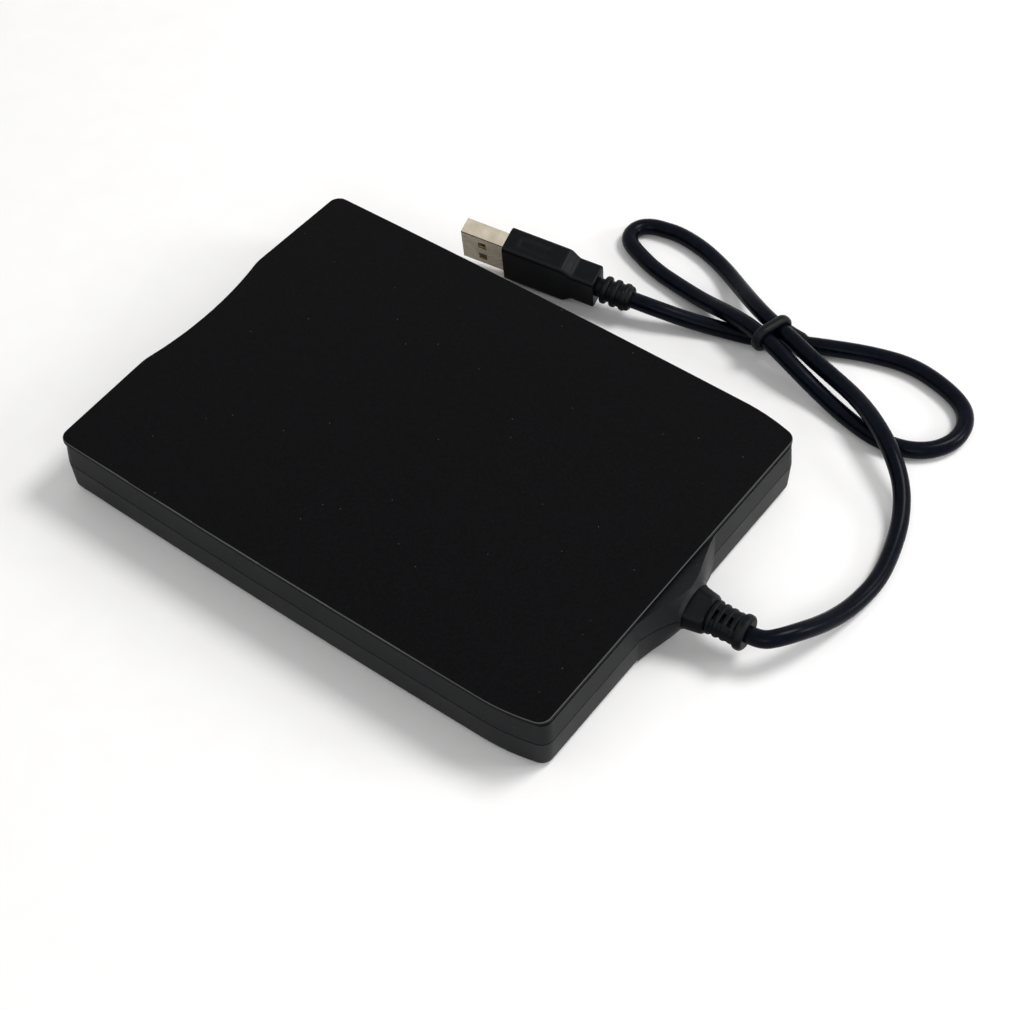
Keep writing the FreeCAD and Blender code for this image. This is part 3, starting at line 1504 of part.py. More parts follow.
def make_cable_wires():
    start_y = bridge_rear_y - 1.0
    wires = []
    for index in range(wire_count):
        x = (index - (wire_count - 1) / 2) * wire_pitch
        wires.append(rod(wire_radius, Vec(x, start_y, lead_z - wire_drop), Y_AXIS, relief_inner_y - start_y))
    return Part.makeCompound(wires)


def turned_with_case(shape):
    # the outer end of the lead's sleeve leans a little to the left
    shape.rotate(Vec(0, hump_end_y, lead_z), Z_AXIS, relief_turn)
    return shape


def add_rib(profile, y, width, radius, edge, core):
    # one round-shouldered rib of a sleeve, with the core on both sides of it
    profile.append((core, y))
    profile.append((radius - edge, y))
    profile.append((radius, y + edge))
    profile.append((radius, y + width - edge))
    profile.append((radius - edge, y + width))
    profile.append((core, y + width))


def make_strain_relief():
    # a flange inside the rear wall and a neck through it; outside a root block, ribs and a collar
    inner = turned([(0, relief_inner_y), (relief_flange_radius, relief_inner_y),
                    (relief_flange_radius, rear_inner_y), (relief_bore_radius, rear_inner_y),
                    (relief_bore_radius, hump_end_y + 1), (0, hump_end_y + 1)], lead_z)
    start = hump_end_y - relief_first_gap
    y = hump_end_y + relief_root_length
    root = turned([(0, start), (relief_root_radius, start), (relief_root_radius, y - relief_root_edge),
                   (relief_root_radius - relief_root_edge, y), (0, y)], lead_z)
    flat = box(-6, 6, start - 1, y + 1, relief_flat_distance, relief_flat_distance + 5)
    flat.rotate(Vec(0, 0, 0), Y_AXIS, relief_flat_angle)
    flat.translate(Vec(0, 0, lead_z))
    profile = [(0, y - 0.5), (relief_core_radius, y - 0.5)]
    y += relief_first_gap
    for radius in relief_rib_radii:
        add_rib(profile, y, relief_rib_width, radius, relief_rib_edge, relief_core_radius)
        y += relief_rib_pitch
    add_rib(profile, y, relief_collar_width, relief_collar_radius, relief_rib_edge, relief_core_radius)
    profile.append((0, relief_end_y))
    outer = turned_with_case(root.cut(flat).fuse(turned(profile, lead_z)))
    wall_side = box(-10, 10, start - 2, hump_end_y + running_gap, 0, case_height)
    return inner.fuse(outer.cut(wall_side))


def placed(shape):
    # from the plug's own frame (tip at the origin, body along +Y, wide way along Z) to the floor
    shape.rotate(Vec(0, 0, 0), Y_AXIS, plug_roll)
    shape.rotate(Vec(0, 0, 0), X_AXIS, plug_pitch)
    shape.rotate(Vec(0, 0, 0), Z_AXIS, plug_yaw)
    shape.translate(plug_tip)
    return shape


def placed_point(y):
    return placed(Part.Vertex(0, y, 0)).Point


def long_edges(shape):
    return [e for e in shape.Edges if e.BoundBox.YLength > shell_length - 1]


def make_plug_shell():
    half_t = shell_thickness / 2
    half_w = shell_width / 2
    tube = box(-half_t, half_t, 0, shell_length, -half_w, half_w)
    tube = tube.makeFillet(shell_radius, long_edges(tube))
    inner_t = half_t - shell_sheet
    inner_w = half_w - shell_sheet
    inner = box(-inner_t, inner_t, -1, shell_length + 1, -inner_w, inner_w)
    inner = inner.makeFillet(shell_radius - shell_sheet + running_gap, long_edges(inner))
    cutters = [inner]
    for z in (-latch_size, latch_size):
        cutters.append(box(-half_t - 1, half_t + 1, latch_from_tip, latch_from_tip + latch_length,
                           z - latch_size / 2, z + latch_size / 2))
    cutters.append(box(-half_t - 1, 0, shell_length - 3.0, shell_length - 1.8, -0.6, 0.6))
    return placed(less(tube, cutters))


def contact_box(z, x0, x1):
    return box(x0, x1, contact_from_tip, contact_from_tip + contact_length, z - contact_width / 2,
               z + contact_width / 2)


def make_plug_tongue():
    inner_t = shell_thickness / 2 - shell_sheet
    inner_w = shell_width / 2 - shell_sheet - tongue_side_gap
    tongue = box(tongue_side_gap / 2 - inner_t, tongue_thickness - inner_t + tongue_side_gap / 2,
                 tongue_from_tip, shell_length, -inner_w, inner_w)
    return placed(less(tongue, [contact_box(z, -contact_depth, 1) for z in contact_places]))


def make_plug_contacts():
    strips = [contact_box(z, -contact_depth, contact_proud) for z in contact_places]
    return placed(Part.makeCompound(strips))


def rounded_section(y, half_t, half_w, radius):
    # a rectangle with round corners, across the length of the grip
    inner_t = half_t - radius
    inner_w = half_w - radius
    lean = radius * math.sqrt(0.5)
    edges = []
    corners = [(1, 1), (-1, 1), (-1, -1), (1, -1)]
    for index, (st, sw) in enumerate(corners):
        side = Vec(st * half_t, y, sw * inner_w)
        diagonal = Vec(st * (inner_t + lean), y, sw * (inner_w + lean))
        end = Vec(st * inner_t, y, sw * half_w)
        first, last = (side, end) if index % 2 == 0 else (end, side)
        if edges:
            edges.append(Part.LineSegment(edges[-1].EndPoint, first))
        edges.append(Part.Arc(first, diagonal, last))
    edges.append(Part.LineSegment(edges[-1].EndPoint, edges[0].StartPoint))
    return Part.Wire([edge.toShape() for edge in edges])


def make_plug_grip():
    # the moulded grip: full size in front, a short taper, then a narrower rear with a bevelled rim
    half_t = grip_thickness / 2
    half_w = grip_width / 2
    rear_t = half_t - grip_rear_thinner
    rear_w = half_w - grip_rear_narrower
    front = shell_length
    step = front + grip_body_length
    bevel = grip_front_bevel
    tail = grip_rear_bevel
    sections = [
        rounded_section(front, half_t - bevel, half_w - bevel, grip_corner - bevel),
        rounded_section(front + bevel, half_t, half_w, grip_corner),
        rounded_section(step, half_t, half_w, grip_corner),
        rounded_section(step + grip_taper_length, rear_t, rear_w, grip_corner),
        rounded_section(plug_rear - tail, rear_t, rear_w, grip_corner),
        rounded_section(plug_rear, rear_t - tail, rear_w - tail, grip_corner - tail),
    ]
    grip = Part.makeLoft(sections, True, True)
    recesses = []
    pad_y = front + finger_pad_from_shell
    for side in (-1, 1):
        floor_w = side * (half_w - finger_pad_depth)
        recesses.append(box(-finger_pad_width / 2, finger_pad_width / 2, pad_y, pad_y + finger_pad_length,
                            min(floor_w, floor_w + side * 2), max(floor_w, floor_w + side * 2)))
    return placed(less(grip, recesses))


def make_plug_relief():
    y = plug_rear
    profile = [(0, y), (plug_core_radius, y)]
    y += plug_first_gap
    for radius in plug_rib_radii:
        add_rib(profile, y, plug_rib_width, radius, plug_rib_edge, plug_core_radius)
        y += plug_rib_pitch
    profile.append((plug_core_radius, plug_lead_start))
    profile.append((0, plug_lead_start))
    return placed(turned(profile, 0.0))


# Lead: the places it passes through, from the strain relief to the plug.
# It hangs from the relief to the floor, runs to the left, folds back twice and is tied once.
# The first two places lie on the relief's own line and the last two on the plug's.
lead_first_run = 3.6
lead_route = [
    (-3.9, 94.2, 9.1),
    (-8.4, 96.6, 8.3),
    (-13.4, 98.3, 6.3),
    (-19.0, 99.6, 4.2),
    (-25.5, 100.7, 2.7),
    (-34.6, 101.3, floor_lay),
    (-43.6, 99.6, floor_lay),
    (-52.6, 96.8, 2.8),
    (-60.1, 92.3, 5.2),
    (-66.1, 85.3, over_lay),
    (-71.6, 77.6, over_lay),
    (-76.3, 70.2, 6.2),
    (-79.1, 62.4, 5.8),
    (-80.7, 54.7, 6.8),
    (-82.9, 47.3, over_lay),
    (-85.0, 39.9, over_lay),
    (-89.0, 32.5, 6.2),
    (-94.5, 24.9, 3.3),
    (-99.1, 17.1, floor_lay),
    (-101.7, 9.2, floor_lay),
    (-102.6, 1.8, floor_lay),
    (-101.9, -2.4, floor_lay),
    (-101.1, -5.8, floor_lay),
    (-99.1, -8.4, floor_lay),
    (-96.0, -9.2, floor_lay),
    (-93.0, -7.9, floor_lay),
    (-90.9, -4.0, floor_lay),
    (-88.0, 4.0, floor_lay),
    (-86.7, 12.3, floor_lay),
    (-85.0, 21.1, 3.0),
    (-82.6, 29.2, 5.9),
    (-80.6, 37.2, over_lay),
    (-78.5, 44.5, over_lay),
    (-76.3, 52.8, 5.9),
    (-74.7, 61.9, 3.0),
    (-72.6, 70.5, floor_lay),
    (-71.0, 78.8, floor_lay),
    (-72.0, 86.4, floor_lay),
    (-75.7, 92.0, floor_lay),
    (-81.6, 94.9, floor_lay),
    (-88.1, 94.1, floor_lay),
    (-92.6, 90.3, floor_lay),
    (-95.5, 82.6, floor_lay),
    (-96.7, 73.8, floor_lay),
    (-94.5, 64.6, floor_lay),
    (-90.8, 55.5, floor_lay),
    (-86.4, 46.1, floor_lay),
    (-82.3, 37.1, floor_lay),
    (-80.0, 28.8, floor_lay),
    (-77.1, 21.0, 3.2),
]


def lead_points():
    start = turned_with_case(Part.Vertex(0, relief_end_y, lead_z)).Point
    leaving = turned_with_case(Part.Vertex(0, relief_end_y + lead_first_run, lead_z)).Point
    middle = [Vec(*place) for place in lead_route]
    return [start, leaving] + middle + [placed_point(plug_lead_start + last_run), placed_point(plug_lead_start)]


def make_cord():
    points = lead_points()
    edges = []
    start = points[0]
    for before, corner, after in zip(points, points[1:], points[2:]):
        run_in = corner - before
        run_out = after - corner
        turn = run_in.getAngle(run_out)
        setback = 0.45 * min(run_in.Length, run_out.Length)
        radius = setback / math.tan(turn / 2)
        print("lead bend", round(corner.x, 2), round(corner.y, 2), "radius", round(radius, 1))
        into = run_in.normalize()
        out = run_out.normalize()
        first = corner - into * setback
        last = corner + out * setback
        bisector = (out - into).normalize()
        middle = corner + bisector * (radius / math.cos(turn / 2) - radius)
        edges.append(Part.LineSegment(start, first).toShape())
        edges.append(Part.Arc(first, middle, last).toShape())
        start = last
    edges.append(Part.LineSegment(start, points[-1]).toShape())
    spine = Part.Wire(edges)
    section = Part.Wire(Part.makeCircle(cord_diameter / 2, points[0], points[1] - points[0]))
    tube = spine.makePipeShell([section], True, False)
    expected = math.pi * cord_diameter ** 2 / 4 * spine.Length
    print("lead length", round(spine.Length, 1), "volume", round(tube.Volume, 1), "of", round(expected, 1))
    return tube


def stadium(radius, length):
    middle = box(-tie_half_span, tie_half_span, -length / 2, length / 2, -radius, radius)
    ends = [rod(radius, Vec(side * tie_half_span, -length / 2, 0), Y_AXIS, length) for side in (-1, 1)]
    return joined([middle] + ends).removeSplitter()


def make_cord_tie():
    # a band round the two upper strands, with a short free end along the outer one
    inner_radius = cord_diameter / 2 + tie_slack
    outer = stadium(inner_radius + tie_band, tie_width)
    rims = [e for e in outer.Edges if e.BoundBox.YLength < 0.01]
    band = outer.makeFillet(tie_edge, rims).cut(stadium(inner_radius, tie_width + 2))
    reach = tie_half_span + inner_radius + tie_band
    tail = box(-tie_tail_sheet, 0, 0, tie_tail_length, -tie_tail_width / 2, tie_tail_width / 2)
    tail.rotate(Vec(0, 0, 0), X_AXIS, tie_tail_lift)
    tail.translate(Vec(0.1 - reach, 0, 0))
    body = band.fuse(tail)
    body.rotate(Vec(0, 0, 0), Z_AXIS, tie_turn)
    body.translate(tie_centre)
    return body


save("bottom_shell", make_bottom_shell())
save("upper_shell", make_upper_shell())
save("top_panel", make_top_panel())
save("feet", make_feet())
save("case_screws", make_case_screws())
save("frame_screws", make_frame_screws())
save("front_bezel", make_front_bezel())
save("dust_door", make_dust_door())
save("door_spring", make_door_spring())
save("lamp_lens", make_lamp_lens())
save("lamp", make_lamp())
save("eject_button", make_eject_button())
save("eject_slider", make_eject_slider())
save("eject_springs", make_eject_springs())
save("switch_boards", make_switch_boards())
for switch_name in switch_spots:
    save(switch_name + "_switch", make_switch_body(switch_name))
    save(switch_name + "_plunger", make_plunger(switch_name))
save("chassis", make_chassis())
save("top_shield", make_top_shield())
save("disk_holder", make_holder())
save("holder_pins", make_holder_pins())
save("shutter_lever", make_shutter_lever())
save("motor_board", make_motor_board())
save("motor_screws", make_motor_screws())
save("stator_core", make_stator_core())
save("stator_coils", make_stator_coils())
save("spindle_bearing", make_bearing())
save("rotor_cup", make_rotor())
save("rotor_magnet", make_magnet())
save("hub_table", make_hub())
save("spindle_shaft", make_shaft())
save("drive_pin", make_drive_pin())
save("head_carriage", make_carriage())
save("lower_head", make_lower_head())
save("arm_pin", make_arm_pin())
save("head_arm", make_head_arm())
save("upper_head", make_upper_head())
save("guide_rods", make_guide_rods())
save("stepper_motor", make_stepper())
save("screw_bracket", make_bracket())
save("lead_screw", make_lead_screw())
save("logic_board", make_logic_board())
save("logic_chips", make_logic_chips())
save("ribbon_cable", make_ribbon())
save("bridge_board", make_bridge_board())
save("bridge_chips", make_bridge_chips())
save("board_screws", make_board_screws())
save("cable_wires", make_cable_wires())
save("strain_relief", make_strain_relief())
save("lead_cord", make_cord())
save("lead_tie", make_cord_tie())
save("plug_relief", make_plug_relief())
save("plug_grip", make_plug_grip())
save("plug_shell", make_plug_shell())
save("plug_tongue", make_plug_tongue())
save("plug_contacts", make_plug_contacts())
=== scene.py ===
import bpy
import bmesh
import math
from mathutils import Matrix, Vector


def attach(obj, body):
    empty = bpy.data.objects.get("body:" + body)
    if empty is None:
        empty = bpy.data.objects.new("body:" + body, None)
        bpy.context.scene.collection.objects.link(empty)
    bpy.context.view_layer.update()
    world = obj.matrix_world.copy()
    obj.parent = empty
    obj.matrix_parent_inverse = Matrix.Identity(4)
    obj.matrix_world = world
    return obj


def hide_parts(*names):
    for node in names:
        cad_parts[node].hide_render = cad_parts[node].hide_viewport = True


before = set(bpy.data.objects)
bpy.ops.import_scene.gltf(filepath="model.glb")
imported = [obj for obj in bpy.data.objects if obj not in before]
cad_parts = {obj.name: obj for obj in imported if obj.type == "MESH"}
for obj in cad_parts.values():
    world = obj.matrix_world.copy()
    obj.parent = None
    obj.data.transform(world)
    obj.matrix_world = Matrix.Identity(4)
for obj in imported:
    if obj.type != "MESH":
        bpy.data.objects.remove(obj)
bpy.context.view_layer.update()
print("frame loaded,", len(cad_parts), "nodes")

mm = 0.001  # lengths below are in millimetres


def linearColour(hexText):
    # sRGB hex to the linear values that shaders take
    parts = [int(hexText[i:i + 2], 16) / 255 for i in (1, 3, 5)]
    return tuple(c / 12.92 if c <= 0.04045 else ((c + 0.055) / 1.055) ** 2.4 for c in parts) + (1.0,)


def addNode(tree, kind, values=None, links=None, **settings):
    # one node with its settings, its socket values and what feeds it
    made = tree.nodes.new(kind)
    for name, value in settings.items():
        setattr(made, name, value)
    for key, value in (values or {}).items():
        made.inputs[key].default_value = value
    for key, source in (links or {}).items():
        tree.links.new(source, made.inputs[key])
    return made


def startMaterial(name):
    material = bpy.data.materials.new(name)
    material.use_nodes = True
    material.node_tree.nodes.clear()
    return material, material.node_tree


def closeMaterial(material, shader):
    addNode(material.node_tree, "ShaderNodeOutputMaterial", links={"Surface": shader.outputs[0]})
    return material


# camera first, so that every piece is judged from one place
cameraLook = {
    "place": (240.684, 218.779, 385.242),
    "right": (-0.6021991, 0.7977236, -0.0315172),
    "down": (0.6287775, 0.4495966, -0.6344303),
    "forward": (-0.4919299, -0.4018707, -0.7723373),
    "lens": 75.59,
    "sensor": 36.0,
}


def placeCamera(look):
    data = bpy.data.cameras.new("viewCamera")
    data.sensor_width = look["sensor"]
    data.lens = look["lens"]
    data.clip_start = 0.01
    data.clip_end = 20.0
    camera = bpy.data.objects.new("viewCamera", data)
    bpy.context.scene.collection.objects.link(camera)
    right, down, forward = (Vector(look[k]) for k in ("right", "down", "forward"))
    turn = Matrix((right, -down, -forward)).transposed().to_4x4()
    camera.matrix_world = Matrix.Translation(Vector(look["place"]) * mm) @ turn
    bpy.context.scene.camera = camera


placeCamera(cameraLook)
bpy.context.scene.view_settings.view_transform = "Standard"
print("camera placed")


# dust specks, a painted highlight on edges that slope upwards and painted light on faces that look up, for
# every moulded piece; a look may set its own share of the two painted lights
resinDustAndPaintedLight = {
    "dustTone": "#8d8f90",
    "edgeHighlightTone": "#b9c0bc",
    "topLightTone": "#9aa39c",
    # how far a face looks up: 0 for a wall, 1 for the top
    "edgeLightStarts": 0.25, "edgeLightFull": 0.5, "edgeLightEases": 0.85, "edgeLightEnds": 0.97, "topLightStarts": 0.6,
    "edgeHighlight": 0.02,
    "paintedTopLight": 0.0,
    "glossDrift": 0.05,
}


def mouldedPlastic(name, look):
    # moulded resin: grain left by the eroded tool, drift in gloss, a few pale dust specks, and painted light
    # on upper edges and tops
    material, tree = startMaterial(name)
    coords = addNode(tree, "ShaderNodeTexCoord")
    place = coords.outputs["Object"]
    grain = addNode(tree, "ShaderNodeTexNoise",
                    {"Scale": 1 / (look["grain"] * mm), "Detail": 3.0, "Roughness": 0.6}, {"Vector": place})
    drift = addNode(tree, "ShaderNodeTexNoise", {"Scale": 1 / (look["drift"] * mm), "Detail": 2.0},
                    {"Vector": place})
    dust = addNode(tree, "ShaderNodeTexVoronoi", {"Scale": 1 / (look["dustGap"] * mm)}, {"Vector": place})
    dustMask = addNode(tree, "ShaderNodeMapRange",
                       {"From Min": look["dustSize"], "From Max": look["dustSize"] * 0.5,
                        "To Max": look["dustShow"]}, {"Value": dust.outputs["Distance"]})
    tone = addNode(tree, "ShaderNodeMapRange", {"From Min": 0.35, "From Max": 0.65},
                   {"Value": grain.outputs["Fac"]})
    body = addNode(tree, "ShaderNodeMix", {6: linearColour(look["dark"]), 7: linearColour(look["light"])},
                   {0: tone.outputs["Result"]}, data_type="RGBA")
    dusty = addNode(tree, "ShaderNodeMix", {7: linearColour(resinDustAndPaintedLight["dustTone"])},
                    {0: dustMask.outputs["Result"], 6: body.outputs[2]}, data_type="RGBA")
    # painted highlight on edges that slope upwards, then painted light on faces that look up, both picked by
    # how far the normal points up
    facing = addNode(tree, "ShaderNodeSeparateXYZ", links={0: coords.outputs["Normal"]}).outputs["Z"]
    rising = addNode(tree, "ShaderNodeMapRange",
                     {"From Min": resinDustAndPaintedLight["edgeLightStarts"], "From Max": resinDustAndPaintedLight["edgeLightFull"]},
                     {"Value": facing})
    falling = addNode(tree, "ShaderNodeMapRange",
                      {"From Min": resinDustAndPaintedLight["edgeLightEnds"], "From Max": resinDustAndPaintedLight["edgeLightEases"]},
                      {"Value": facing})
    edge = addNode(tree, "ShaderNodeMath", links={0: rising.outputs["Result"], 1: falling.outputs["Result"]},
                   operation="MULTIPLY")
    edgeHighlight = addNode(tree, "ShaderNodeMath", {1: look.get("edgeHighlight", resinDustAndPaintedLight["edgeHighlight"])},
                     {0: edge.outputs[0]}, operation="MULTIPLY")
    edgeLitColour = addNode(tree, "ShaderNodeMix", {7: linearColour(resinDustAndPaintedLight["edgeHighlightTone"])},
                   {0: edgeHighlight.outputs[0], 6: dusty.outputs[2]}, data_type="RGBA")
    # painted light: faces that look up are mixed towards a pale tone by how far they face up
    paintedTopLight = look.get("paintedTopLight", resinDustAndPaintedLight["paintedTopLight"])
    topLitShare = addNode(tree, "ShaderNodeMapRange",
                   {"From Min": resinDustAndPaintedLight["topLightStarts"], "From Max": 1.0, "To Max": paintedTopLight},
                   {"Value": facing})
    topLitColour = addNode(tree, "ShaderNodeMix", {7: linearColour(resinDustAndPaintedLight["topLightTone"])},
                       {0: topLitShare.outputs["Result"], 6: edgeLitColour.outputs[2]}, data_type="RGBA")
    glossy, dull = look["rough"] - resinDustAndPaintedLight["glossDrift"], look["rough"] + resinDustAndPaintedLight["glossDrift"]
    rough = addNode(tree, "ShaderNodeMapRange",
                    {"From Min": 0.3, "From Max": 0.7, "To Min": glossy, "To Max": dull},
                    {"Value": drift.outputs["Fac"]})
    bump = addNode(tree, "ShaderNodeBump", {"Strength": look["bite"], "Distance": look["depth"] * mm},
                   {"Height": grain.outputs["Fac"]})
    shader = addNode(tree, "ShaderNodeBsdfPrincipled",
                     {"IOR": look["ior"], "Specular IOR Level": look["specular"]},
                     {"Base Color": topLitColour.outputs[2], "Roughness": rough.outputs["Result"],
                      "Normal": bump.outputs["Normal"]})
    return closeMaterial(material, shader)


metalGlossDrift = 0.08


def sheetMetal(name, look):
    # rolled or cut metal: long scratches along one way, cloudy plating, no dust
    material, tree = startMaterial(name)
    place = addNode(tree, "ShaderNodeTexCoord").outputs["Object"]
    along = addNode(tree, "ShaderNodeMapping", {"Scale": look["stretch"]}, {"Vector": place})
    lines = addNode(tree, "ShaderNodeTexNoise",
                    {"Scale": 1 / (look["line"] * mm), "Detail": 4.0, "Roughness": 0.7},
                    {"Vector": along.outputs["Vector"]})
    cloud = addNode(tree, "ShaderNodeTexNoise", {"Scale": 1 / (look["cloud"] * mm), "Detail": 3.0},
                    {"Vector": place})
    body = addNode(tree, "ShaderNodeMix", {6: linearColour(look["dark"]), 7: linearColour(look["light"])},
                   {0: cloud.outputs["Fac"]}, data_type="RGBA")
    glossy, dull = look["rough"] - metalGlossDrift, look["rough"] + metalGlossDrift
    rough = addNode(tree, "ShaderNodeMapRange",
                    {"From Min": 0.3, "From Max": 0.7, "To Min": glossy, "To Max": dull},
                    {"Value": lines.outputs["Fac"]})
    bump = addNode(tree, "ShaderNodeBump", {"Strength": look["bite"], "Distance": look["depth"] * mm},
                   {"Height": lines.outputs["Fac"]})
    shader = addNode(tree, "ShaderNodeBsdfPrincipled", {"Metallic": 1.0},
                     {"Base Color": body.outputs[2], "Roughness": rough.outputs["Result"],
                      "Normal": bump.outputs["Normal"]})
    return closeMaterial(material, shader)


def circuitBoard(name, look):
    # glass laminate under solder mask: copper tracks show as lighter lines, vias as small dots
    material, tree = startMaterial(name)
    place = addNode(tree, "ShaderNodeTexCoord").outputs["Object"]
    tracks = addNode(tree, "ShaderNodeTexBrick",
                     {"Scale": 1 / (look["track"] * mm), "Mortar Size": look["trackGap"],
                      "Brick Width": look["trackLong"], "Row Height": look["trackStep"],
                      "Color1": linearColour(look["mask"]), "Color2": linearColour(look["maskDeep"]),
                      "Mortar": linearColour(look["copper"])}, {"Vector": place})
    vias = addNode(tree, "ShaderNodeTexVoronoi", {"Scale": 1 / (look["viaGap"] * mm)}, {"Vector": place})
    viaMask = addNode(tree, "ShaderNodeMapRange", {"From Min": look["viaRim"], "From Max": look["viaFlat"]},
                      {"Value": vias.outputs["Distance"]})
    body = addNode(tree, "ShaderNodeMix", {7: linearColour(look["tin"])},
                   {0: viaMask.outputs["Result"], 6: tracks.outputs["Color"]}, data_type="RGBA")
    bump = addNode(tree, "ShaderNodeBump", {"Strength": look["bite"], "Distance": look["depth"] * mm},
                   {"Height": tracks.outputs["Fac"]})
    shader = addNode(tree, "ShaderNodeBsdfPrincipled", {"Roughness": look["rough"], "IOR": look["ior"]},
                     {"Base Color": body.outputs[2], "Normal": bump.outputs["Normal"]})
    return closeMaterial(material, shader)


# ABS moulded in a spark-eroded tool: dull black with a very fine sparkle, and a little painted highlight on
# faces that slope upwards
caseAbs = mouldedPlastic("eroded_abs_shell", {
    "dark": "#090a0c", "light": "#101215", "grain": 0.45, "drift": 22, "dustGap": 3.4, "dustSize": 0.035,
    "dustShow": 0.3, "rough": 0.44, "bite": 0.3, "depth": 0.05, "ior": 1.54, "specular": 0.1, "edgeHighlight": 0.03})
# the lid is the same resin off a flatter tool, darkened as painted shade for the dark that its top mirrors,
# with a strong painted highlight on its edges that slope upwards
panelAbs = mouldedPlastic("eroded_abs_lid", {
    "dark": "#050506", "light": "#0b0b0d", "grain": 0.5, "drift": 30, "dustGap": 4.2, "dustSize": 0.032,
    "dustShow": 0.35, "rough": 0.42, "bite": 0.25, "depth": 0.04, "ior": 1.54, "specular": 0.03,
    "edgeHighlight": 0.16})
bezelAbs = mouldedPlastic("fine_grain_abs_bezel", {
    "dark": "#0e0f11", "light": "#17191b", "grain": 0.35, "drift": 15, "dustGap": 5, "dustSize": 0.03,
    "dustShow": 0.3, "rough": 0.42, "bite": 0.25, "depth": 0.04, "ior": 1.54, "specular": 0.12})
# polished tool: smoother and a little greyer than the case
buttonAbs = mouldedPlastic("satin_abs_button", {
    "dark": "#131416", "light": "#1b1d20", "grain": 0.8, "drift": 6, "dustGap": 6, "dustSize": 0.03,
    "dustShow": 0.2, "rough": 0.34, "bite": 0.12, "depth": 0.03, "ior": 1.54, "specular": 0.16})
# soft PVC over the wires: dark navy, glossy, with long wet highlights
leadPvc = mouldedPlastic("soft_pvc_lead", {
    "dark": "#02040c", "light": "#060a16", "grain": 1.6, "drift": 9, "dustGap": 6, "dustSize": 0.03,
    "dustShow": 0.2, "rough": 0.27, "bite": 0.06, "depth": 0.05, "ior": 1.53, "specular": 0.05,
    "edgeHighlight": 0.0})
# the same PVC moulded over the plug and at the drive, duller from the tool, with a faint painted light on its
# tops
gripPvc = mouldedPlastic("moulded_pvc_grip", {
    "dark": "#040508", "light": "#080a0d", "grain": 0.9, "drift": 5, "dustGap": 4, "dustSize": 0.035,
    "dustShow": 0.3, "rough": 0.36, "bite": 0.15, "depth": 0.05, "ior": 1.53, "specular": 0.035,
    "paintedTopLight": 0.012})
footRubber = mouldedPlastic("pressed_rubber_feet", {
    "dark": "#1a1a1a", "light": "#2b2b2a", "grain": 0.5, "drift": 3, "dustGap": 1.2, "dustSize": 0.06,
    "dustShow": 0.5, "rough": 0.82, "bite": 0.4, "depth": 0.08, "ior": 1.52, "specular": 0.3})
# plastic-coated twist tie, with a trace of painted highlight on its edges that slope upwards
tiePaper = mouldedPlastic("plastic_coated_tie", {
    "dark": "#07090b", "light": "#101317", "grain": 0.7, "drift": 2, "dustGap": 2, "dustSize": 0.04,
    "dustShow": 0.3, "rough": 0.4, "bite": 0.3, "depth": 0.06, "ior": 1.5, "specular": 0.08, "edgeHighlight": 0.01})
filledResin = mouldedPlastic("glass_filled_resin", {
    "dark": "#232426", "light": "#33353a", "grain": 0.3, "drift": 4, "dustGap": 0.9, "dustSize": 0.06,
    "dustShow": 0.4, "rough": 0.5, "bite": 0.3, "depth": 0.03, "ior": 1.56, "specular": 0.5})
nylonWhite = mouldedPlastic("moulded_nylon", {
    "dark": "#cfcdc4", "light": "#e2e0d8", "grain": 0.6, "drift": 5, "dustGap": 3, "dustSize": 0.03,
    "dustShow": 0.3, "rough": 0.45, "bite": 0.1, "depth": 0.03, "ior": 1.53, "specular": 0.5})
chipEpoxy = mouldedPlastic("moulded_epoxy_chip", {
    "dark": "#26272a", "light": "#35363a", "grain": 0.22, "drift": 2, "dustGap": 1.1, "dustSize": 0.05,
    "dustShow": 0.5, "rough": 0.55, "bite": 0.4, "depth": 0.02, "ior": 1.57, "specular": 0.5})
ferrite = mouldedPlastic("bonded_ferrite", {
    "dark": "#232426", "light": "#3a3b3d", "grain": 0.25, "drift": 3, "dustGap": 1, "dustSize": 0.06,
    "dustShow": 0.5, "rough": 0.6, "bite": 0.4, "depth": 0.03, "ior": 1.6, "specular": 0.5})
lappedCeramic = mouldedPlastic("lapped_ceramic", {
    "dark": "#b9b4a8", "light": "#cfcabf", "grain": 0.15, "drift": 1, "dustGap": 1, "dustSize": 0.03,
    "dustShow": 0.2, "rough": 0.16, "bite": 0.05, "depth": 0.01, "ior": 1.7, "specular": 0.5})
polyesterFilm = mouldedPlastic("polyester_film_cable", {
    "dark": "#8f9aa6", "light": "#a7b2bd", "grain": 2.0, "drift": 3, "dustGap": 4, "dustSize": 0.03,
    "dustShow": 0.2, "rough": 0.25, "bite": 0.1, "depth": 0.02, "ior": 1.6, "specular": 0.5})
wireJacket = mouldedPlastic("wire_insulation", {
    "dark": "#7c1f1b", "light": "#93302a", "grain": 0.6, "drift": 2, "dustGap": 3, "dustSize": 0.03,
    "dustShow": 0.2, "rough": 0.35, "bite": 0.1, "depth": 0.02, "ior": 1.5, "specular": 0.5})

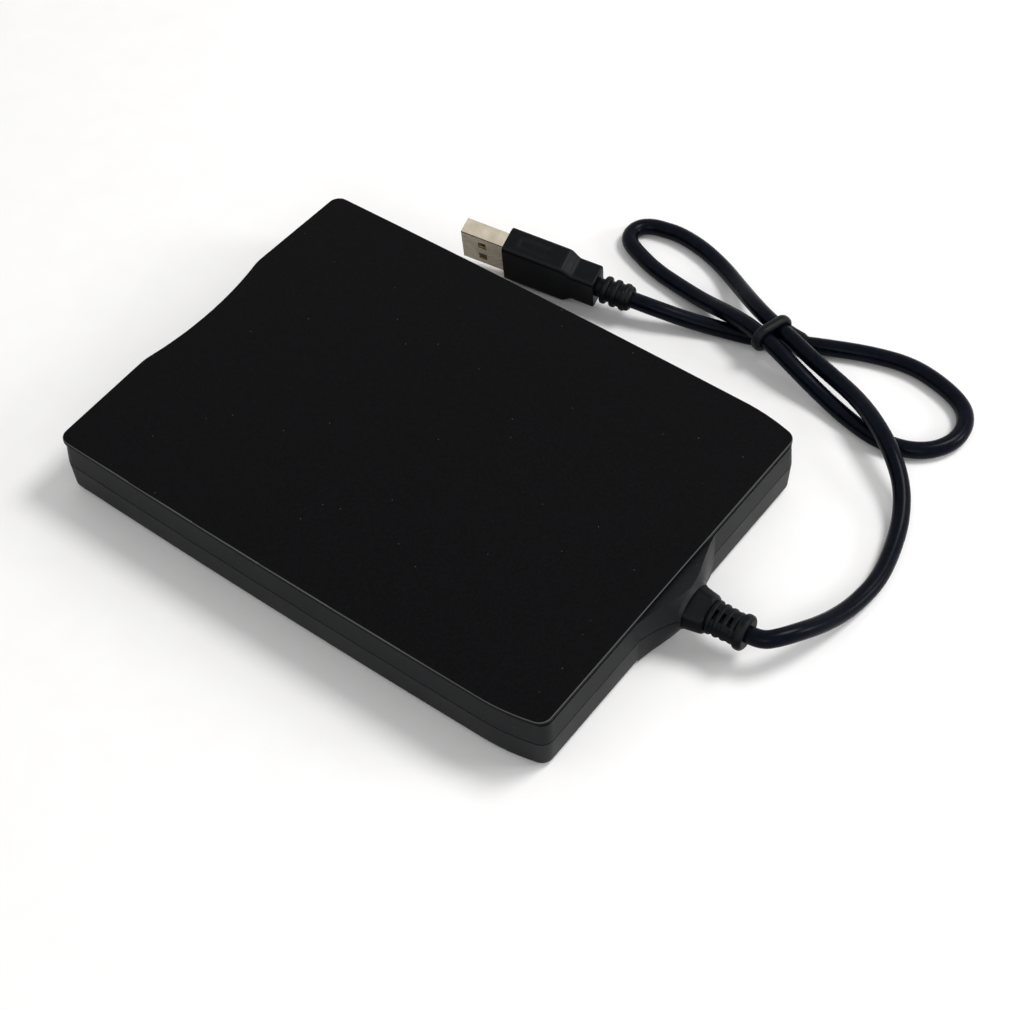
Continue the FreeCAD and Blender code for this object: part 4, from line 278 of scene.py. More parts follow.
# zinc-plated sheet as it comes from the rolls: pale, cloudy, with long faint lines
platedSheet = sheetMetal("zinc_plated_sheet", {
    "dark": "#a9abac", "light": "#c6c8ca", "line": 0.5, "stretch": (1.0, 0.04, 1.0), "cloud": 6,
    "rough": 0.38, "bite": 0.25, "depth": 0.01})
castMetal = sheetMetal("die_cast_zinc", {
    "dark": "#8f9192", "light": "#b1b3b4", "line": 0.4, "stretch": (1.0, 1.0, 1.0), "cloud": 3,
    "rough": 0.48, "bite": 0.5, "depth": 0.03})
groundSteel = sheetMetal("ground_steel_rod", {
    "dark": "#b4b6b8", "light": "#cdcfd1", "line": 0.15, "stretch": (1.0, 0.5, 1.0), "cloud": 2,
    "rough": 0.2, "bite": 0.15, "depth": 0.01})
blackZinc = sheetMetal("black_zinc_screw", {
    "dark": "#2c2d30", "light": "#45474b", "line": 0.2, "stretch": (1.0, 1.0, 1.0), "cloud": 1,
    "rough": 0.36, "bite": 0.3, "depth": 0.01})
motorSteel = sheetMetal("drawn_steel_can", {
    "dark": "#8c8f93", "light": "#a8abaf", "line": 0.3, "stretch": (1.0, 0.1, 1.0), "cloud": 3,
    "rough": 0.34, "bite": 0.2, "depth": 0.01})
sinteredBronze = sheetMetal("sintered_bronze", {
    "dark": "#8a6a3c", "light": "#a98550", "line": 0.15, "stretch": (1.0, 1.0, 1.0), "cloud": 0.8,
    "rough": 0.46, "bite": 0.5, "depth": 0.01})
enamelCopper = sheetMetal("enamelled_copper", {
    "dark": "#8c4a24", "light": "#b86a34", "line": 0.22, "stretch": (1.0, 1.0, 0.3), "cloud": 1,
    "rough": 0.28, "bite": 0.5, "depth": 0.03})
# bright nickel over pressed steel: warm grey, handled, with sliding marks along the way it plugs in
plugNickel = sheetMetal("nickel_plated_shell", {
    "dark": "#a79c88", "light": "#d6cdbb", "line": 0.35, "stretch": (1.0, 0.08, 1.0), "cloud": 3,
    "rough": 0.26, "bite": 0.2, "depth": 0.01})
goldFlash = sheetMetal("gold_flash_contact", {
    "dark": "#c39a4a", "light": "#dcb866", "line": 0.2, "stretch": (1.0, 0.1, 1.0), "cloud": 1,
    "rough": 0.25, "bite": 0.1, "depth": 0.01})

greenBoard = circuitBoard("solder_masked_board", {
    "track": 4.0, "trackGap": 0.06, "trackLong": 0.9, "trackStep": 0.22, "viaGap": 2.6, "viaRim": 0.16,
    "viaFlat": 0.12, "mask": "#0d5a33", "maskDeep": "#0b4f2d", "copper": "#1b7a46", "tin": "#b9bab4",
    "bite": 0.4, "depth": 0.03, "rough": 0.32, "ior": 1.55})


lensLook = {"dark": "#a8c49a", "light": "#c2d8b4", "flow": 1.2, "rough": 0.12, "ior": 1.49, "clear": 0.6,
            "bite": 0.1, "depth": 0.02}


def tintedLens(look):
    # clear acrylic light guide: pale green, wet-looking, faint flow lines from the gate
    material, tree = startMaterial("clear_acrylic_lens")
    place = addNode(tree, "ShaderNodeTexCoord").outputs["Object"]
    flow = addNode(tree, "ShaderNodeTexNoise", {"Scale": 1 / (look["flow"] * mm), "Detail": 2.0},
                   {"Vector": place})
    body = addNode(tree, "ShaderNodeMix", {6: linearColour(look["dark"]), 7: linearColour(look["light"])},
                   {0: flow.outputs["Fac"]}, data_type="RGBA")
    bump = addNode(tree, "ShaderNodeBump", {"Strength": look["bite"], "Distance": look["depth"] * mm},
                   {"Height": flow.outputs["Fac"]})
    shader = addNode(tree, "ShaderNodeBsdfPrincipled",
                     {"Roughness": look["rough"], "IOR": look["ior"], "Transmission Weight": look["clear"]},
                     {"Base Color": body.outputs[2], "Normal": bump.outputs["Normal"]})
    return closeMaterial(material, shader)


lensAcrylic = tintedLens(lensLook)
print("materials made")

finishes = {
    "top_panel": panelAbs, "upper_shell": caseAbs, "bottom_shell": caseAbs, "front_bezel": bezelAbs,
    "dust_door": bezelAbs, "eject_button": buttonAbs, "feet": footRubber, "case_screws": blackZinc,
    "frame_screws": blackZinc, "motor_screws": blackZinc, "board_screws": blackZinc, "lamp_lens": lensAcrylic,
    "lamp": lensAcrylic, "door_spring": groundSteel, "eject_springs": groundSteel, "guide_rods": groundSteel,
    "arm_pin": groundSteel, "spindle_shaft": groundSteel, "drive_pin": groundSteel, "lead_screw": groundSteel,
    "holder_pins": groundSteel, "eject_slider": platedSheet, "chassis": platedSheet,
    "top_shield": platedSheet, "disk_holder": platedSheet, "shutter_lever": platedSheet,
    "screw_bracket": platedSheet, "head_arm": platedSheet, "rotor_cup": platedSheet,
    "switch_boards": greenBoard,
    "motor_board": greenBoard, "logic_board": greenBoard, "bridge_board": greenBoard,
    "write_guard_switch": nylonWhite, "density_switch": nylonWhite, "disk_in_switch": nylonWhite,
    "write_guard_plunger": filledResin, "density_plunger": filledResin, "disk_in_plunger": filledResin,
    "stator_core": motorSteel, "stepper_motor": motorSteel, "stator_coils": enamelCopper,
    "spindle_bearing": sinteredBronze, "rotor_magnet": ferrite, "hub_table": castMetal,
    "head_carriage": castMetal,
    "lower_head": lappedCeramic, "upper_head": lappedCeramic, "logic_chips": chipEpoxy,
    "bridge_chips": chipEpoxy,
    "ribbon_cable": polyesterFilm, "cable_wires": wireJacket, "strain_relief": gripPvc, "lead_cord": leadPvc,
    "lead_tie": tiePaper, "plug_relief": gripPvc, "plug_grip": gripPvc, "plug_shell": plugNickel,
    "plug_tongue": nylonWhite, "plug_contacts": goldFlash,
}
for nodeName, material in finishes.items():
    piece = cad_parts[nodeName]
    if not piece.material_slots:
        piece.data.materials.append(material)
    for place in piece.material_slots:
        place.material = material
print("CAD pieces dressed")


def skinRings(builder, rings, closed=False):
    # quads between rings of points; an open skin gets a flat end at each side
    made = [[builder.verts.new(point) for point in ring] for ring in rings]
    pairs = list(zip(made, made[1:]))
    if closed:
        pairs.append((made[-1], made[0]))
    for lower, upper in pairs:
        for index in range(len(lower)):
            after = (index + 1) % len(lower)
            builder.faces.new((lower[index], lower[after], upper[after], upper[index]))
    if not closed:
        builder.faces.new(made[0])
        builder.faces.new(made[-1])


def filletPath(corners, steps=5):
    # (across, along, round) corners to a line in which each corner is an arc of its own radius
    line = []
    for index, (across, along, rounding) in enumerate(corners):
        here = Vector((across, along))
        if rounding == 0:
            line.append(here)
            continue
        before = (Vector(corners[index - 1][:2]) - here).normalized()
        after = (Vector(corners[(index + 1) % len(corners)][:2]) - here).normalized()
        half = before.angle(after) / 2
        centre = here + (before + after).normalized() * rounding / math.sin(half)
        first = here + before * rounding / math.tan(half) - centre
        last = here + after * rounding / math.tan(half) - centre
        for step in range(steps + 1):
            line.append(centre + first.slerp(last, step / steps))
    return line


nearAxis = 0.01  # radius at which a turned end closes in a tiny flat


def turnedSkin(builder, corners, sides=72):
    # a profile of (radius, place along y, round) corners turned about the y axis
    angles = [2 * math.pi * index / sides for index in range(sides)]
    rings = [[(radius * math.sin(angle), along, radius * math.cos(angle)) for angle in angles]
             for radius, along in filletPath(corners)]
    skinRings(builder, rings)


def roundedRectangle(halfWide, halfHigh, rounding, steps=5, flats=1):
    # closed line of a rectangle with round corners; flats divides its straight sides
    corners = [(halfWide, halfHigh, rounding), (-halfWide, halfHigh, rounding),
               (-halfWide, -halfHigh, rounding), (halfWide, -halfHigh, rounding)]
    arcs = filletPath(corners, steps)
    line = []
    for index, point in enumerate(arcs):
        line.append(point)
        if index % (steps + 1) == steps:
            after = arcs[(index + 1) % len(arcs)]
            line.extend(point.lerp(after, part / flats) for part in range(1, flats))
    return line


def meshFrom(builder, name):
    # closes a bmesh: millimetres to metres, faces outwards
    bmesh.ops.recalc_face_normals(builder, faces=builder.faces)
    bmesh.ops.scale(builder, vec=(mm, mm, mm), verts=builder.verts)
    mesh = bpy.data.meshes.new(name)
    builder.to_mesh(mesh)
    builder.free()
    return mesh


def showPiece(name, mesh, material, crease=32):
    # smooth shading with the real edges kept crisp
    mesh.materials.clear()
    mesh.materials.append(material)
    mesh.shade_smooth()
    mesh.set_sharp_from_angle(angle=math.radians(crease))
    piece = bpy.data.objects.new(name, mesh)
    bpy.context.scene.collection.objects.link(piece)
    return piece


def joinMeshes(name, meshes):
    builder = bmesh.new()
    for mesh in meshes:
        builder.from_mesh(mesh)
    joined = bpy.data.meshes.new(name)
    builder.to_mesh(joined)
    builder.free()
    return joined


def ribTree():
    # a row of round-shouldered rings along y, each a little smaller than the last, joined to their sleeve
    ringReach = 1.5  # height of a ring's section as a share of what stands above the core
    barReach = 1.4  # the same for a bridge
    tree = bpy.data.node_groups.new("sleeveRibs", "GeometryNodeTree")
    tree.interface.new_socket(name="Sleeve", in_out="INPUT", socket_type="NodeSocketGeometry")
    tree.interface.new_socket(name="Count", in_out="INPUT", socket_type="NodeSocketInt")
    tree.interface.new_socket(name="Bridges", in_out="INPUT", socket_type="NodeSocketInt")
    for name in ("Start", "Pitch", "First Radius", "Last Radius", "Core Radius", "Width", "Round",
                 "Bridge Radius", "Bridge Sweep", "Bridge Turn", "Bridge From", "Bridge To"):
        tree.interface.new_socket(name=name, in_out="INPUT", socket_type="NodeSocketFloat")
    tree.interface.new_socket(name="Finish", in_out="INPUT", socket_type="NodeSocketMaterial")
    tree.interface.new_socket(name="Geometry", in_out="OUTPUT", socket_type="NodeSocketGeometry")
    given = addNode(tree, "NodeGroupInput").outputs
    depth = addNode(tree, "ShaderNodeMath", links={0: given["First Radius"], 1: given["Core Radius"]},
                    operation="SUBTRACT")
    # both reach some way into the core, so that no gap can show
    high = addNode(tree, "ShaderNodeMath", {1: ringReach}, {0: depth.outputs[0]}, operation="MULTIPLY")
    sink = addNode(tree, "ShaderNodeMath", {1: ringReach / 2}, {0: depth.outputs[0]}, operation="MULTIPLY")
    middle = addNode(tree, "ShaderNodeMath", links={0: given["First Radius"], 1: sink.outputs[0]},
                     operation="SUBTRACT")
    circle = addNode(tree, "GeometryNodeCurvePrimitiveCircle", {"Resolution": 72},
                     {"Radius": middle.outputs[0]})
    block = addNode(tree, "GeometryNodeCurvePrimitiveQuadrilateral",
                    links={"Width": high.outputs[0], "Height": given["Width"]})
    soft = addNode(tree, "GeometryNodeFilletCurve", {"Count": 4},
                   {"Curve": block.outputs[0], "Radius": given["Round"]}, mode="POLY")
    ring = addNode(tree, "GeometryNodeCurveToMesh",
                   links={"Curve": circle.outputs[0], "Profile Curve": soft.outputs[0]})
    upright = addNode(tree, "GeometryNodeTransform", {"Rotation": (math.pi / 2, 0, 0)},
                      {"Geometry": ring.outputs[0]})
    first = addNode(tree, "ShaderNodeCombineXYZ", links={"Y": given["Start"]})
    apart = addNode(tree, "ShaderNodeCombineXYZ", links={"Y": given["Pitch"]})
    row = addNode(tree, "GeometryNodeMeshLine",
                  links={"Count": given["Count"], "Start Location": first.outputs[0],
                         "Offset": apart.outputs[0]})
    last = addNode(tree, "ShaderNodeMath", {1: 1.0}, {0: given["Count"]}, operation="SUBTRACT")
    shrink = addNode(tree, "ShaderNodeMath", links={0: given["Last Radius"], 1: given["First Radius"]},
                     operation="DIVIDE")
    share = addNode(tree, "ShaderNodeMapRange", {"From Min": 0.0, "To Min": 1.0},
                    {"Value": addNode(tree, "GeometryNodeInputIndex").outputs[0], "From Max": last.outputs[0],
                     "To Max": shrink.outputs[0]})
    scale = addNode(tree, "ShaderNodeCombineXYZ", {"Y": 1.0}, {"X": share.outputs[0], "Z": share.outputs[0]})
    rings = addNode(tree, "GeometryNodeInstanceOnPoints", links={"Points": row.outputs[0],
                                                                 "Instance": upright.outputs[0],
                                                                 "Scale": scale.outputs[0]})
    real = addNode(tree, "GeometryNodeRealizeInstances", links={"Geometry": rings.outputs[0]})
    # bridges that cross the grooves and leave a ring of short slots in each
    deep = addNode(tree, "ShaderNodeMath", links={0: given["Bridge Radius"], 1: given["Core Radius"]},
                   operation="SUBTRACT")
    thick = addNode(tree, "ShaderNodeMath", {1: barReach}, {0: deep.outputs[0]}, operation="MULTIPLY")
    inward = addNode(tree, "ShaderNodeMath", {1: barReach / 2}, {0: deep.outputs[0]}, operation="MULTIPLY")
    arcRadius = addNode(tree, "ShaderNodeMath", links={0: given["Bridge Radius"], 1: inward.outputs[0]},
                        operation="SUBTRACT")
    halfSweep = addNode(tree, "ShaderNodeMath", {1: 0.5}, {0: given["Bridge Sweep"]}, operation="MULTIPLY")
    opening = addNode(tree, "ShaderNodeMath", links={0: given["Bridge Turn"], 1: halfSweep.outputs[0]},
                      operation="SUBTRACT")
    arc = addNode(tree, "GeometryNodeCurveArc", {"Resolution": 14}, {
        "Radius": arcRadius.outputs[0], "Start Angle": opening.outputs[0],
        "Sweep Angle": given["Bridge Sweep"]})
    reach = addNode(tree, "ShaderNodeMath", links={0: given["Bridge To"], 1: given["Bridge From"]},
                    operation="SUBTRACT")
    strip = addNode(tree, "GeometryNodeCurvePrimitiveQuadrilateral",
                    links={"Width": thick.outputs[0], "Height": reach.outputs[0]})
    bar = addNode(tree, "GeometryNodeCurveToMesh", {"Fill Caps": True},
                  {"Curve": arc.outputs[0], "Profile Curve": strip.outputs[0]})
    ends = addNode(tree, "ShaderNodeMath", links={0: given["Bridge To"], 1: given["Bridge From"]},
                   operation="ADD")
    halfway = addNode(tree, "ShaderNodeMath", {1: 0.5}, {0: ends.outputs[0]}, operation="MULTIPLY")
    along = addNode(tree, "ShaderNodeCombineXYZ", links={"Y": halfway.outputs[0]})
    laid = addNode(tree, "GeometryNodeTransform", {"Rotation": (math.pi / 2, 0, 0)},
                   {"Geometry": bar.outputs[0], "Translation": along.outputs[0]})
    spots = addNode(tree, "GeometryNodeMeshLine", {"Offset": (0, 0, 0)}, {"Count": given["Bridges"]})
    part = addNode(tree, "ShaderNodeMath", {0: 2 * math.pi}, {1: given["Bridges"]}, operation="DIVIDE")
    angle = addNode(tree, "ShaderNodeMath", links={0: addNode(tree, "GeometryNodeInputIndex").outputs[0],
                                                   1: part.outputs[0]}, operation="MULTIPLY")
    facing = addNode(tree, "ShaderNodeCombineXYZ", links={"Y": angle.outputs[0]})
    bars = addNode(tree, "GeometryNodeInstanceOnPoints", links={"Points": spots.outputs[0],
                                                                "Instance": laid.outputs[0],
                                                                "Rotation": facing.outputs[0]})
    realBars = addNode(tree, "GeometryNodeRealizeInstances", links={"Geometry": bars.outputs[0]})
    joined = addNode(tree, "GeometryNodeJoinGeometry", links={"Geometry": real.outputs[0]})
    tree.links.new(realBars.outputs[0], joined.inputs["Geometry"])
    tree.links.new(given["Sleeve"], joined.inputs["Geometry"])
    dressed = addNode(tree, "GeometryNodeSetMaterial",
                      links={"Geometry": joined.outputs[0], "Material": given["Finish"]})
    addNode(tree, "NodeGroupOutput", links={"Geometry": dressed.outputs[0]})
    return tree


ribs = ribTree()


def ribbedMesh(name, sleeve, material, look):
    # the sleeve's mesh with its ribs, made plain
    holder = bpy.data.objects.new(name + "Holder", sleeve)
    bpy.context.scene.collection.objects.link(holder)
    maker = holder.modifiers.new("ribs", "NODES")
    maker.node_group = ribs
    chosen = {"Count": look["count"], "Start": (look["start"] + look["width"] / 2) * mm,
              "Pitch": look["pitch"] * mm, "First Radius": look["firstRadius"] * mm,
              "Last Radius": look["lastRadius"] * mm, "Core Radius": look["coreRadius"] * mm,
              "Width": look["width"] * mm, "Round": look["round"] * mm, "Bridges": look["bridges"],
              "Bridge Radius": look["bridgeRadius"] * mm, "Bridge Sweep": math.radians(look["bridgeSweep"]),
              "Bridge Turn": math.radians(look["bridgeTurn"]), "Bridge From": look["bridgeFrom"] * mm,
              "Bridge To": look["bridgeTo"] * mm, "Finish": material}
    for socket in ribs.interface.items_tree:
        if socket.in_out == "INPUT" and socket.name in chosen:
            maker[socket.identifier] = chosen[socket.name]
    shown = holder.evaluated_get(bpy.context.evaluated_depsgraph_get())
    made = bpy.data.meshes.new_from_object(shown)
    made.name = name
    holder.modifiers.remove(maker)
    bpy.data.objects.remove(holder)
    return made


# sleeve where the lead leaves the drive: flange and neck in the wall, a root with a flat, ribs, a collar
bootLook = {
    "seat": (0.0, 74.5, 9.1),
    "turn": 2.6,
    "flange": {"radius": 5.2, "start": -7.9, "end": -6.3, "frontRound": 0.3, "rearRound": 0.1},
    "neckRadius": 3.6,
    "root": {"radius": 4.5, "start": 0.05, "end": 4.2, "round": 0.7, "frontRound": 0.15, "cove": 0.2},
    "flat": {"distance": 3.9, "angle": 25.0},
    "ribs": {"count": 4, "start": 4.6, "pitch": 1.85, "width": 1.1, "firstRadius": 4.1, "lastRadius": 3.8,
             "coreRadius": 3.1, "round": 0.38, "bridges": 4, "bridgeRadius": 3.72, "bridgeSweep": 52,
             "bridgeTurn": 20, "bridgeFrom": 4.4, "bridgeTo": 12.1},
    "collar": {"radius": 3.65, "start": 12.0, "end": 13.2, "round": 0.35, "cove": 0.15},
}


def makeBoot(look):
    inner = bmesh.new()
    flange, root, collar = look["flange"], look["root"], look["collar"]
    turnedSkin(inner, [(nearAxis, flange["start"], 0),
                       (flange["radius"], flange["start"], flange["frontRound"]),
                       (flange["radius"], flange["end"], flange["rearRound"]),
                       (look["neckRadius"], flange["end"], 0), (look["neckRadius"], root["start"], 0),
                       (nearAxis, root["start"], 0)])
    innerMesh = meshFrom(inner, "bootNeck")
    outer = bmesh.new()
    core = look["ribs"]["coreRadius"]
    turnedSkin(outer, [(nearAxis, root["start"], 0), (root["radius"], root["start"], root["frontRound"]),
                       (root["radius"], root["end"], root["round"]), (core, root["end"], root["cove"]),
                       (core, collar["start"], collar["cove"]),
                       (collar["radius"], collar["start"], collar["round"]),
                       (collar["radius"], collar["end"], collar["round"]), (nearAxis, collar["end"], 0)],
               96)
    # the flat ground on the root: what stands above it is pressed down to it
    turn = math.radians(look["flat"]["angle"])
    facing = Vector((math.sin(turn), 0, math.cos(turn)))
    for point in outer.verts:
        over = point.co.dot(facing) - look["flat"]["distance"]
        if over > 0 and point.co.y < root["end"] + 0.01:
            point.co -= facing * over
    outerMesh = ribbedMesh("bootSleeve", meshFrom(outer, "bootSleeve"), gripPvc, look["ribs"])
    seat = Matrix.Translation(Vector(look["seat"]) * mm)
    innerMesh.transform(seat)
    outerMesh.transform(seat @ Matrix.Rotation(math.radians(look["turn"]), 4, "Z"))
    return showPiece("reliefBoot", joinMeshes("reliefBoot", [innerMesh, outerMesh]), gripPvc)


# the plug's own frame: its tip, its body along +y and its wide way along z
plugPose = {"tip": (-63.3, -37.9, 10.2), "yaw": 11.5, "pitch": -5.0, "roll": 13.6}


def plugPlace(pose):
    place = Matrix.Translation(Vector(pose["tip"]) * mm)
    for key, axis in (("yaw", "Z"), ("pitch", "X"), ("roll", "Y")):
        place = place @ Matrix.Rotation(math.radians(pose[key]), 4, axis)
    return place


gripLook = {
    "halfThick": 3.5, "halfWide": 7.1, "corner": 0.8, "cornerLoss": 0.6, "start": 12.0, "end": 37.0,
    "frontRound": 0.4, "rearRound": 0.55,
    # where it narrows towards the lead, and by how much
    "waist": (28.0, 31.2), "thinner": 0.3, "narrower": 1.9,
    # one thumb hollow on each narrow side
    "hollow": {"start": 15.0, "end": 24.5, "halfWide": 1.9, "depth": 0.2, "edge": 1.1},
    # gap between its rings, and where they stand on the quarter turn of each rounded end
    "step": 0.4,
    "endAngles": (8, 22, 36, 50, 64, 78, 90),
}


def easeBetween(value, low, high):
    share = min(max((value - low) / (high - low), 0.0), 1.0)
    return share * share * (3 - 2 * share)


def makeGrip(look):
    builder = bmesh.new()
    count = round((look["end"] - look["start"]) / look["step"])
    places = [look["start"] + (look["end"] - look["start"]) * index / count for index in range(count + 1)]
    # closer rings where the two ends are rounded
    for angle in look["endAngles"]:
        share = 1 - math.cos(math.radians(angle))
        places += [look["start"] + look["frontRound"] * share, look["end"] - look["rearRound"] * share]
    rings = []
    hollow = look["hollow"]
    for along in sorted(places):
        fromFront = min((along - look["start"]) / look["frontRound"], 1)
        fromRear = min((look["end"] - along) / look["rearRound"], 1)
        inset = look["frontRound"] * (1 - math.sqrt(max(1 - (1 - fromFront) ** 2, 0)))
        inset += look["rearRound"] * (1 - math.sqrt(max(1 - (1 - fromRear) ** 2, 0)))
        narrow = easeBetween(along, *look["waist"])
        line = roundedRectangle(look["halfThick"] - look["thinner"] * narrow - inset,
                                look["halfWide"] - look["narrower"] * narrow - inset,
                                look["corner"] - look["cornerLoss"] * inset, 6, 14)
        within = easeBetween(along, hollow["start"], hollow["start"] + hollow["edge"])
        within *= 1 - easeBetween(along, hollow["end"] - hollow["edge"], hollow["end"])
        ring = []
        for across, up in line:
            dip = 1 - easeBetween(abs(across), hollow["halfWide"] - hollow["edge"], hollow["halfWide"])
            onSide = abs(up) > look["halfWide"] - look["narrower"] - look["corner"]
            ring.append((across, along, up - math.copysign(hollow["depth"] * dip * within * onSide, up)))
        rings.append(ring)
    skinRings(builder, rings)
    mesh = meshFrom(builder, "gripMoulding")
    mesh.transform(plugPlace(plugPose))
    return showPiece("gripMoulding", mesh, gripPvc, 40)


plugRibLook = {
    "start": 37.0, "end": 45.6,
    "ribs": {"count": 3, "start": 38.5, "pitch": 2.6, "width": 1.6, "firstRadius": 3.6, "lastRadius": 3.55,
             "coreRadius": 2.4, "round": 0.6, "bridges": 0, "bridgeRadius": 3.0, "bridgeSweep": 40,
             "bridgeTurn": 0, "bridgeFrom": 38.5, "bridgeTo": 45.3},
}


def makePlugRibs(look):
    core = look["ribs"]["coreRadius"]
    builder = bmesh.new()
    turnedSkin(builder, [(nearAxis, look["start"], 0), (core, look["start"], 0), (core, look["end"], 0.15),
                         (nearAxis, look["end"], 0)])
    mesh = ribbedMesh("plugRibs", meshFrom(builder, "plugRibs"), gripPvc, look["ribs"])
    mesh.transform(plugPlace(plugPose))
    return showPiece("plugRibs", mesh, gripPvc)


# tie round the two upper strands: a round-edged band, its free end along the outer strand
tieLook = {
    "centre": (-81.6, 42.6, 7.6), "turn": -16.0, "halfSpan": 2.4, "innerRadius": 2.25, "band": 0.8,
    "width": 1.4,
    "round": 0.39, "tailLength": 6.6, "tailSheet": 0.5, "tailWidth": 0.9, "tailLift": 12.0, "tailDrop": 2.2,
    "tailSink": 0.1, "tailRound": 0.14, "tipFrom": 0.8, "tipNarrower": 0.25, "tipThinner": 0.1,
}


def makeTie(look):
    builder = bmesh.new()
    middle = look["innerRadius"] + look["band"] / 2
    section = roundedRectangle(look["band"] / 2, look["width"] / 2, look["round"], 4)
    rings = []
    for side in (1, -1):
        for step in range(25):
            angle = math.pi * (step / 24 - 0.5)
            out = Vector((side * math.cos(angle), 0, side * math.sin(angle)))
            centre = Vector((side * look["halfSpan"], 0, 0)) + out * middle
            rings.append([centre + out * across + Vector((0, along, 0)) for across, along in section])
    skinRings(builder, rings, closed=True)
    # the free end: a narrow tongue low on the strand's outer side, lifting along it
    reach = look["halfSpan"] + look["innerRadius"] + look["band"]
    lift = math.radians(look["tailLift"])
    tongue = []
    for step in range(11):
        share = step / 10
        tip = max(share - look["tipFrom"], 0) / (1 - look["tipFrom"])
        outline = roundedRectangle(look["tailSheet"] / 2 - look["tipThinner"] * tip,
                                   look["tailWidth"] / 2 - look["tipNarrower"] * tip, look["tailRound"], 3)
        along = look["tailLength"] * share
        centre = Vector((look["tailSink"] - reach - look["tailSheet"] / 2, along * math.cos(lift),
                         along * math.sin(lift) - look["tailDrop"]))
        tongue.append([centre + Vector((across, 0, up)) for across, up in outline])
    skinRings(builder, tongue)
    mesh = meshFrom(builder, "tieBand")
    turn = Matrix.Rotation(math.radians(look["turn"]), 4, "Z")
    mesh.transform(Matrix.Translation(Vector(look["centre"]) * mm) @ turn)
    return showPiece("tieBand", mesh, tiePaper)


reliefBoot = makeBoot(bootLook)
gripMoulding = makeGrip(gripLook)
plugRibs = makePlugRibs(plugRibLook)
tieBand = makeTie(tieLook)
for piece, nodeName, slotName in (
        (reliefBoot, "strain_relief", "lead_black"), (gripMoulding, "plug_grip", "lead_black"),
        (plugRibs, "plug_relief", "lead_black"), (tieBand, "lead_tie", "tie_black")):
    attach(piece, "case")
    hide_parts(nodeName)
print("sleeves, grip and tie made")

# lead: one smooth line from the strain relief to the plug
leadLook = {
    "diameter": 4.2,
    "exit": (-0.599, 87.686, 9.1),
    "route": [
        (-0.599, 87.686, 9.1), (-0.762, 91.283, 9.1), (-3.9, 94.2, 9.1), (-8.4, 96.6, 8.3),
        (-13.4, 98.3, 6.3),
        (-19.0, 99.6, 4.2), (-25.5, 100.7, 2.7), (-34.6, 101.3, 2.1), (-43.6, 99.6, 2.1), (-52.6, 96.8, 2.8),
        (-60.1, 92.3, 5.2), (-66.1, 85.3, 7.6), (-71.6, 77.6, 7.6), (-76.3, 70.2, 6.2), (-79.1, 62.4, 5.8),
        (-80.7, 54.7, 6.8), (-82.9, 47.3, 7.6), (-85.0, 39.9, 7.6), (-89.0, 32.5, 6.2), (-94.5, 24.9, 3.3),
        (-99.1, 17.1, 2.1), (-101.7, 9.2, 2.1), (-102.6, 1.8, 2.1), (-101.9, -2.4, 2.1), (-101.1, -5.8, 2.1),
        (-99.1, -8.4, 2.1), (-96.0, -9.2, 2.1), (-93.0, -7.9, 2.1), (-90.9, -4.0, 2.1), (-88.0, 4.0, 2.1),
        (-86.7, 12.3, 2.1), (-85.0, 21.1, 3.0), (-82.6, 29.2, 5.9), (-80.6, 37.2, 7.6), (-78.5, 44.5, 7.6),
        (-76.3, 52.8, 5.9), (-74.7, 61.9, 3.0), (-72.6, 70.5, 2.1), (-71.0, 78.8, 2.1), (-72.0, 86.4, 2.1),
        (-75.7, 92.0, 2.1), (-81.6, 94.9, 2.1), (-88.1, 94.1, 2.1), (-92.6, 90.3, 2.1), (-95.5, 82.6, 2.1),
        (-96.7, 73.8, 2.1), (-94.5, 64.6, 2.1), (-90.8, 55.5, 2.1), (-86.4, 46.1, 2.1), (-82.3, 37.1, 2.1),
        (-80.0, 28.8, 2.1), (-77.1, 21.0, 3.2), (-73.608, 12.765, 5.677), (-72.357, 6.615, 6.226),
    ],
    "length": 400.0,
    "sides": 6,
}


def makeLead(look):
    line = bpy.data.curves.new("leadLine", "CURVE")
    line.dimensions = "3D"
    run = line.splines.new("NURBS")
    run.points.add(len(look["route"]) - 1)
    for point, place in zip(run.points, look["route"]):
        point.co = (*[c * mm for c in place], 1.0)
    run.order_u = 3
    run.use_endpoint_u = True
    run.resolution_u = 10
    line.bevel_depth = look["diameter"] / 2 * mm
    line.bevel_resolution = look["sides"]
    line.use_fill_caps = True
    line.materials.append(leadPvc)
    lead = bpy.data.objects.new("leadJacket", line)
    bpy.context.scene.collection.objects.link(lead)
    return lead


leadJacket = makeLead(leadLook)
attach(leadJacket, "case")
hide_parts("lead_cord")
leadPieces = [reliefBoot, tieBand, plugRibs, gripMoulding]
leadPieces += [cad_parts[name] for name in ("plug_shell", "plug_tongue", "plug_contacts")]
print("lead laid")


# studio: pale floor, even dome, a key lamp over the left side, a weak fill from the right and one from behind
studioLook = {
    "floorTone": "#f6f5f4",
    "fibreTone": "#fbfafa",
    "fibre": 9,
    "floorSize": 8000,
    "floorDrop": 0.02,
    # how far out it starts to show plain white, and where nothing else is left
    "fadeFrom": 450,
    "fadeTo": 900,
    "domeLight": 0.55,
    "lamps": [
        # name, place, size, power; each is aimed at the origin
        ("keyLamp", (-500, 350, 900), 380, 6.0),
        ("fillLamp", (700, 500, 600), 500, 1.5),
        ("rimLamp", (-700, 1100, 560), 420, 5.0),
    ],
}


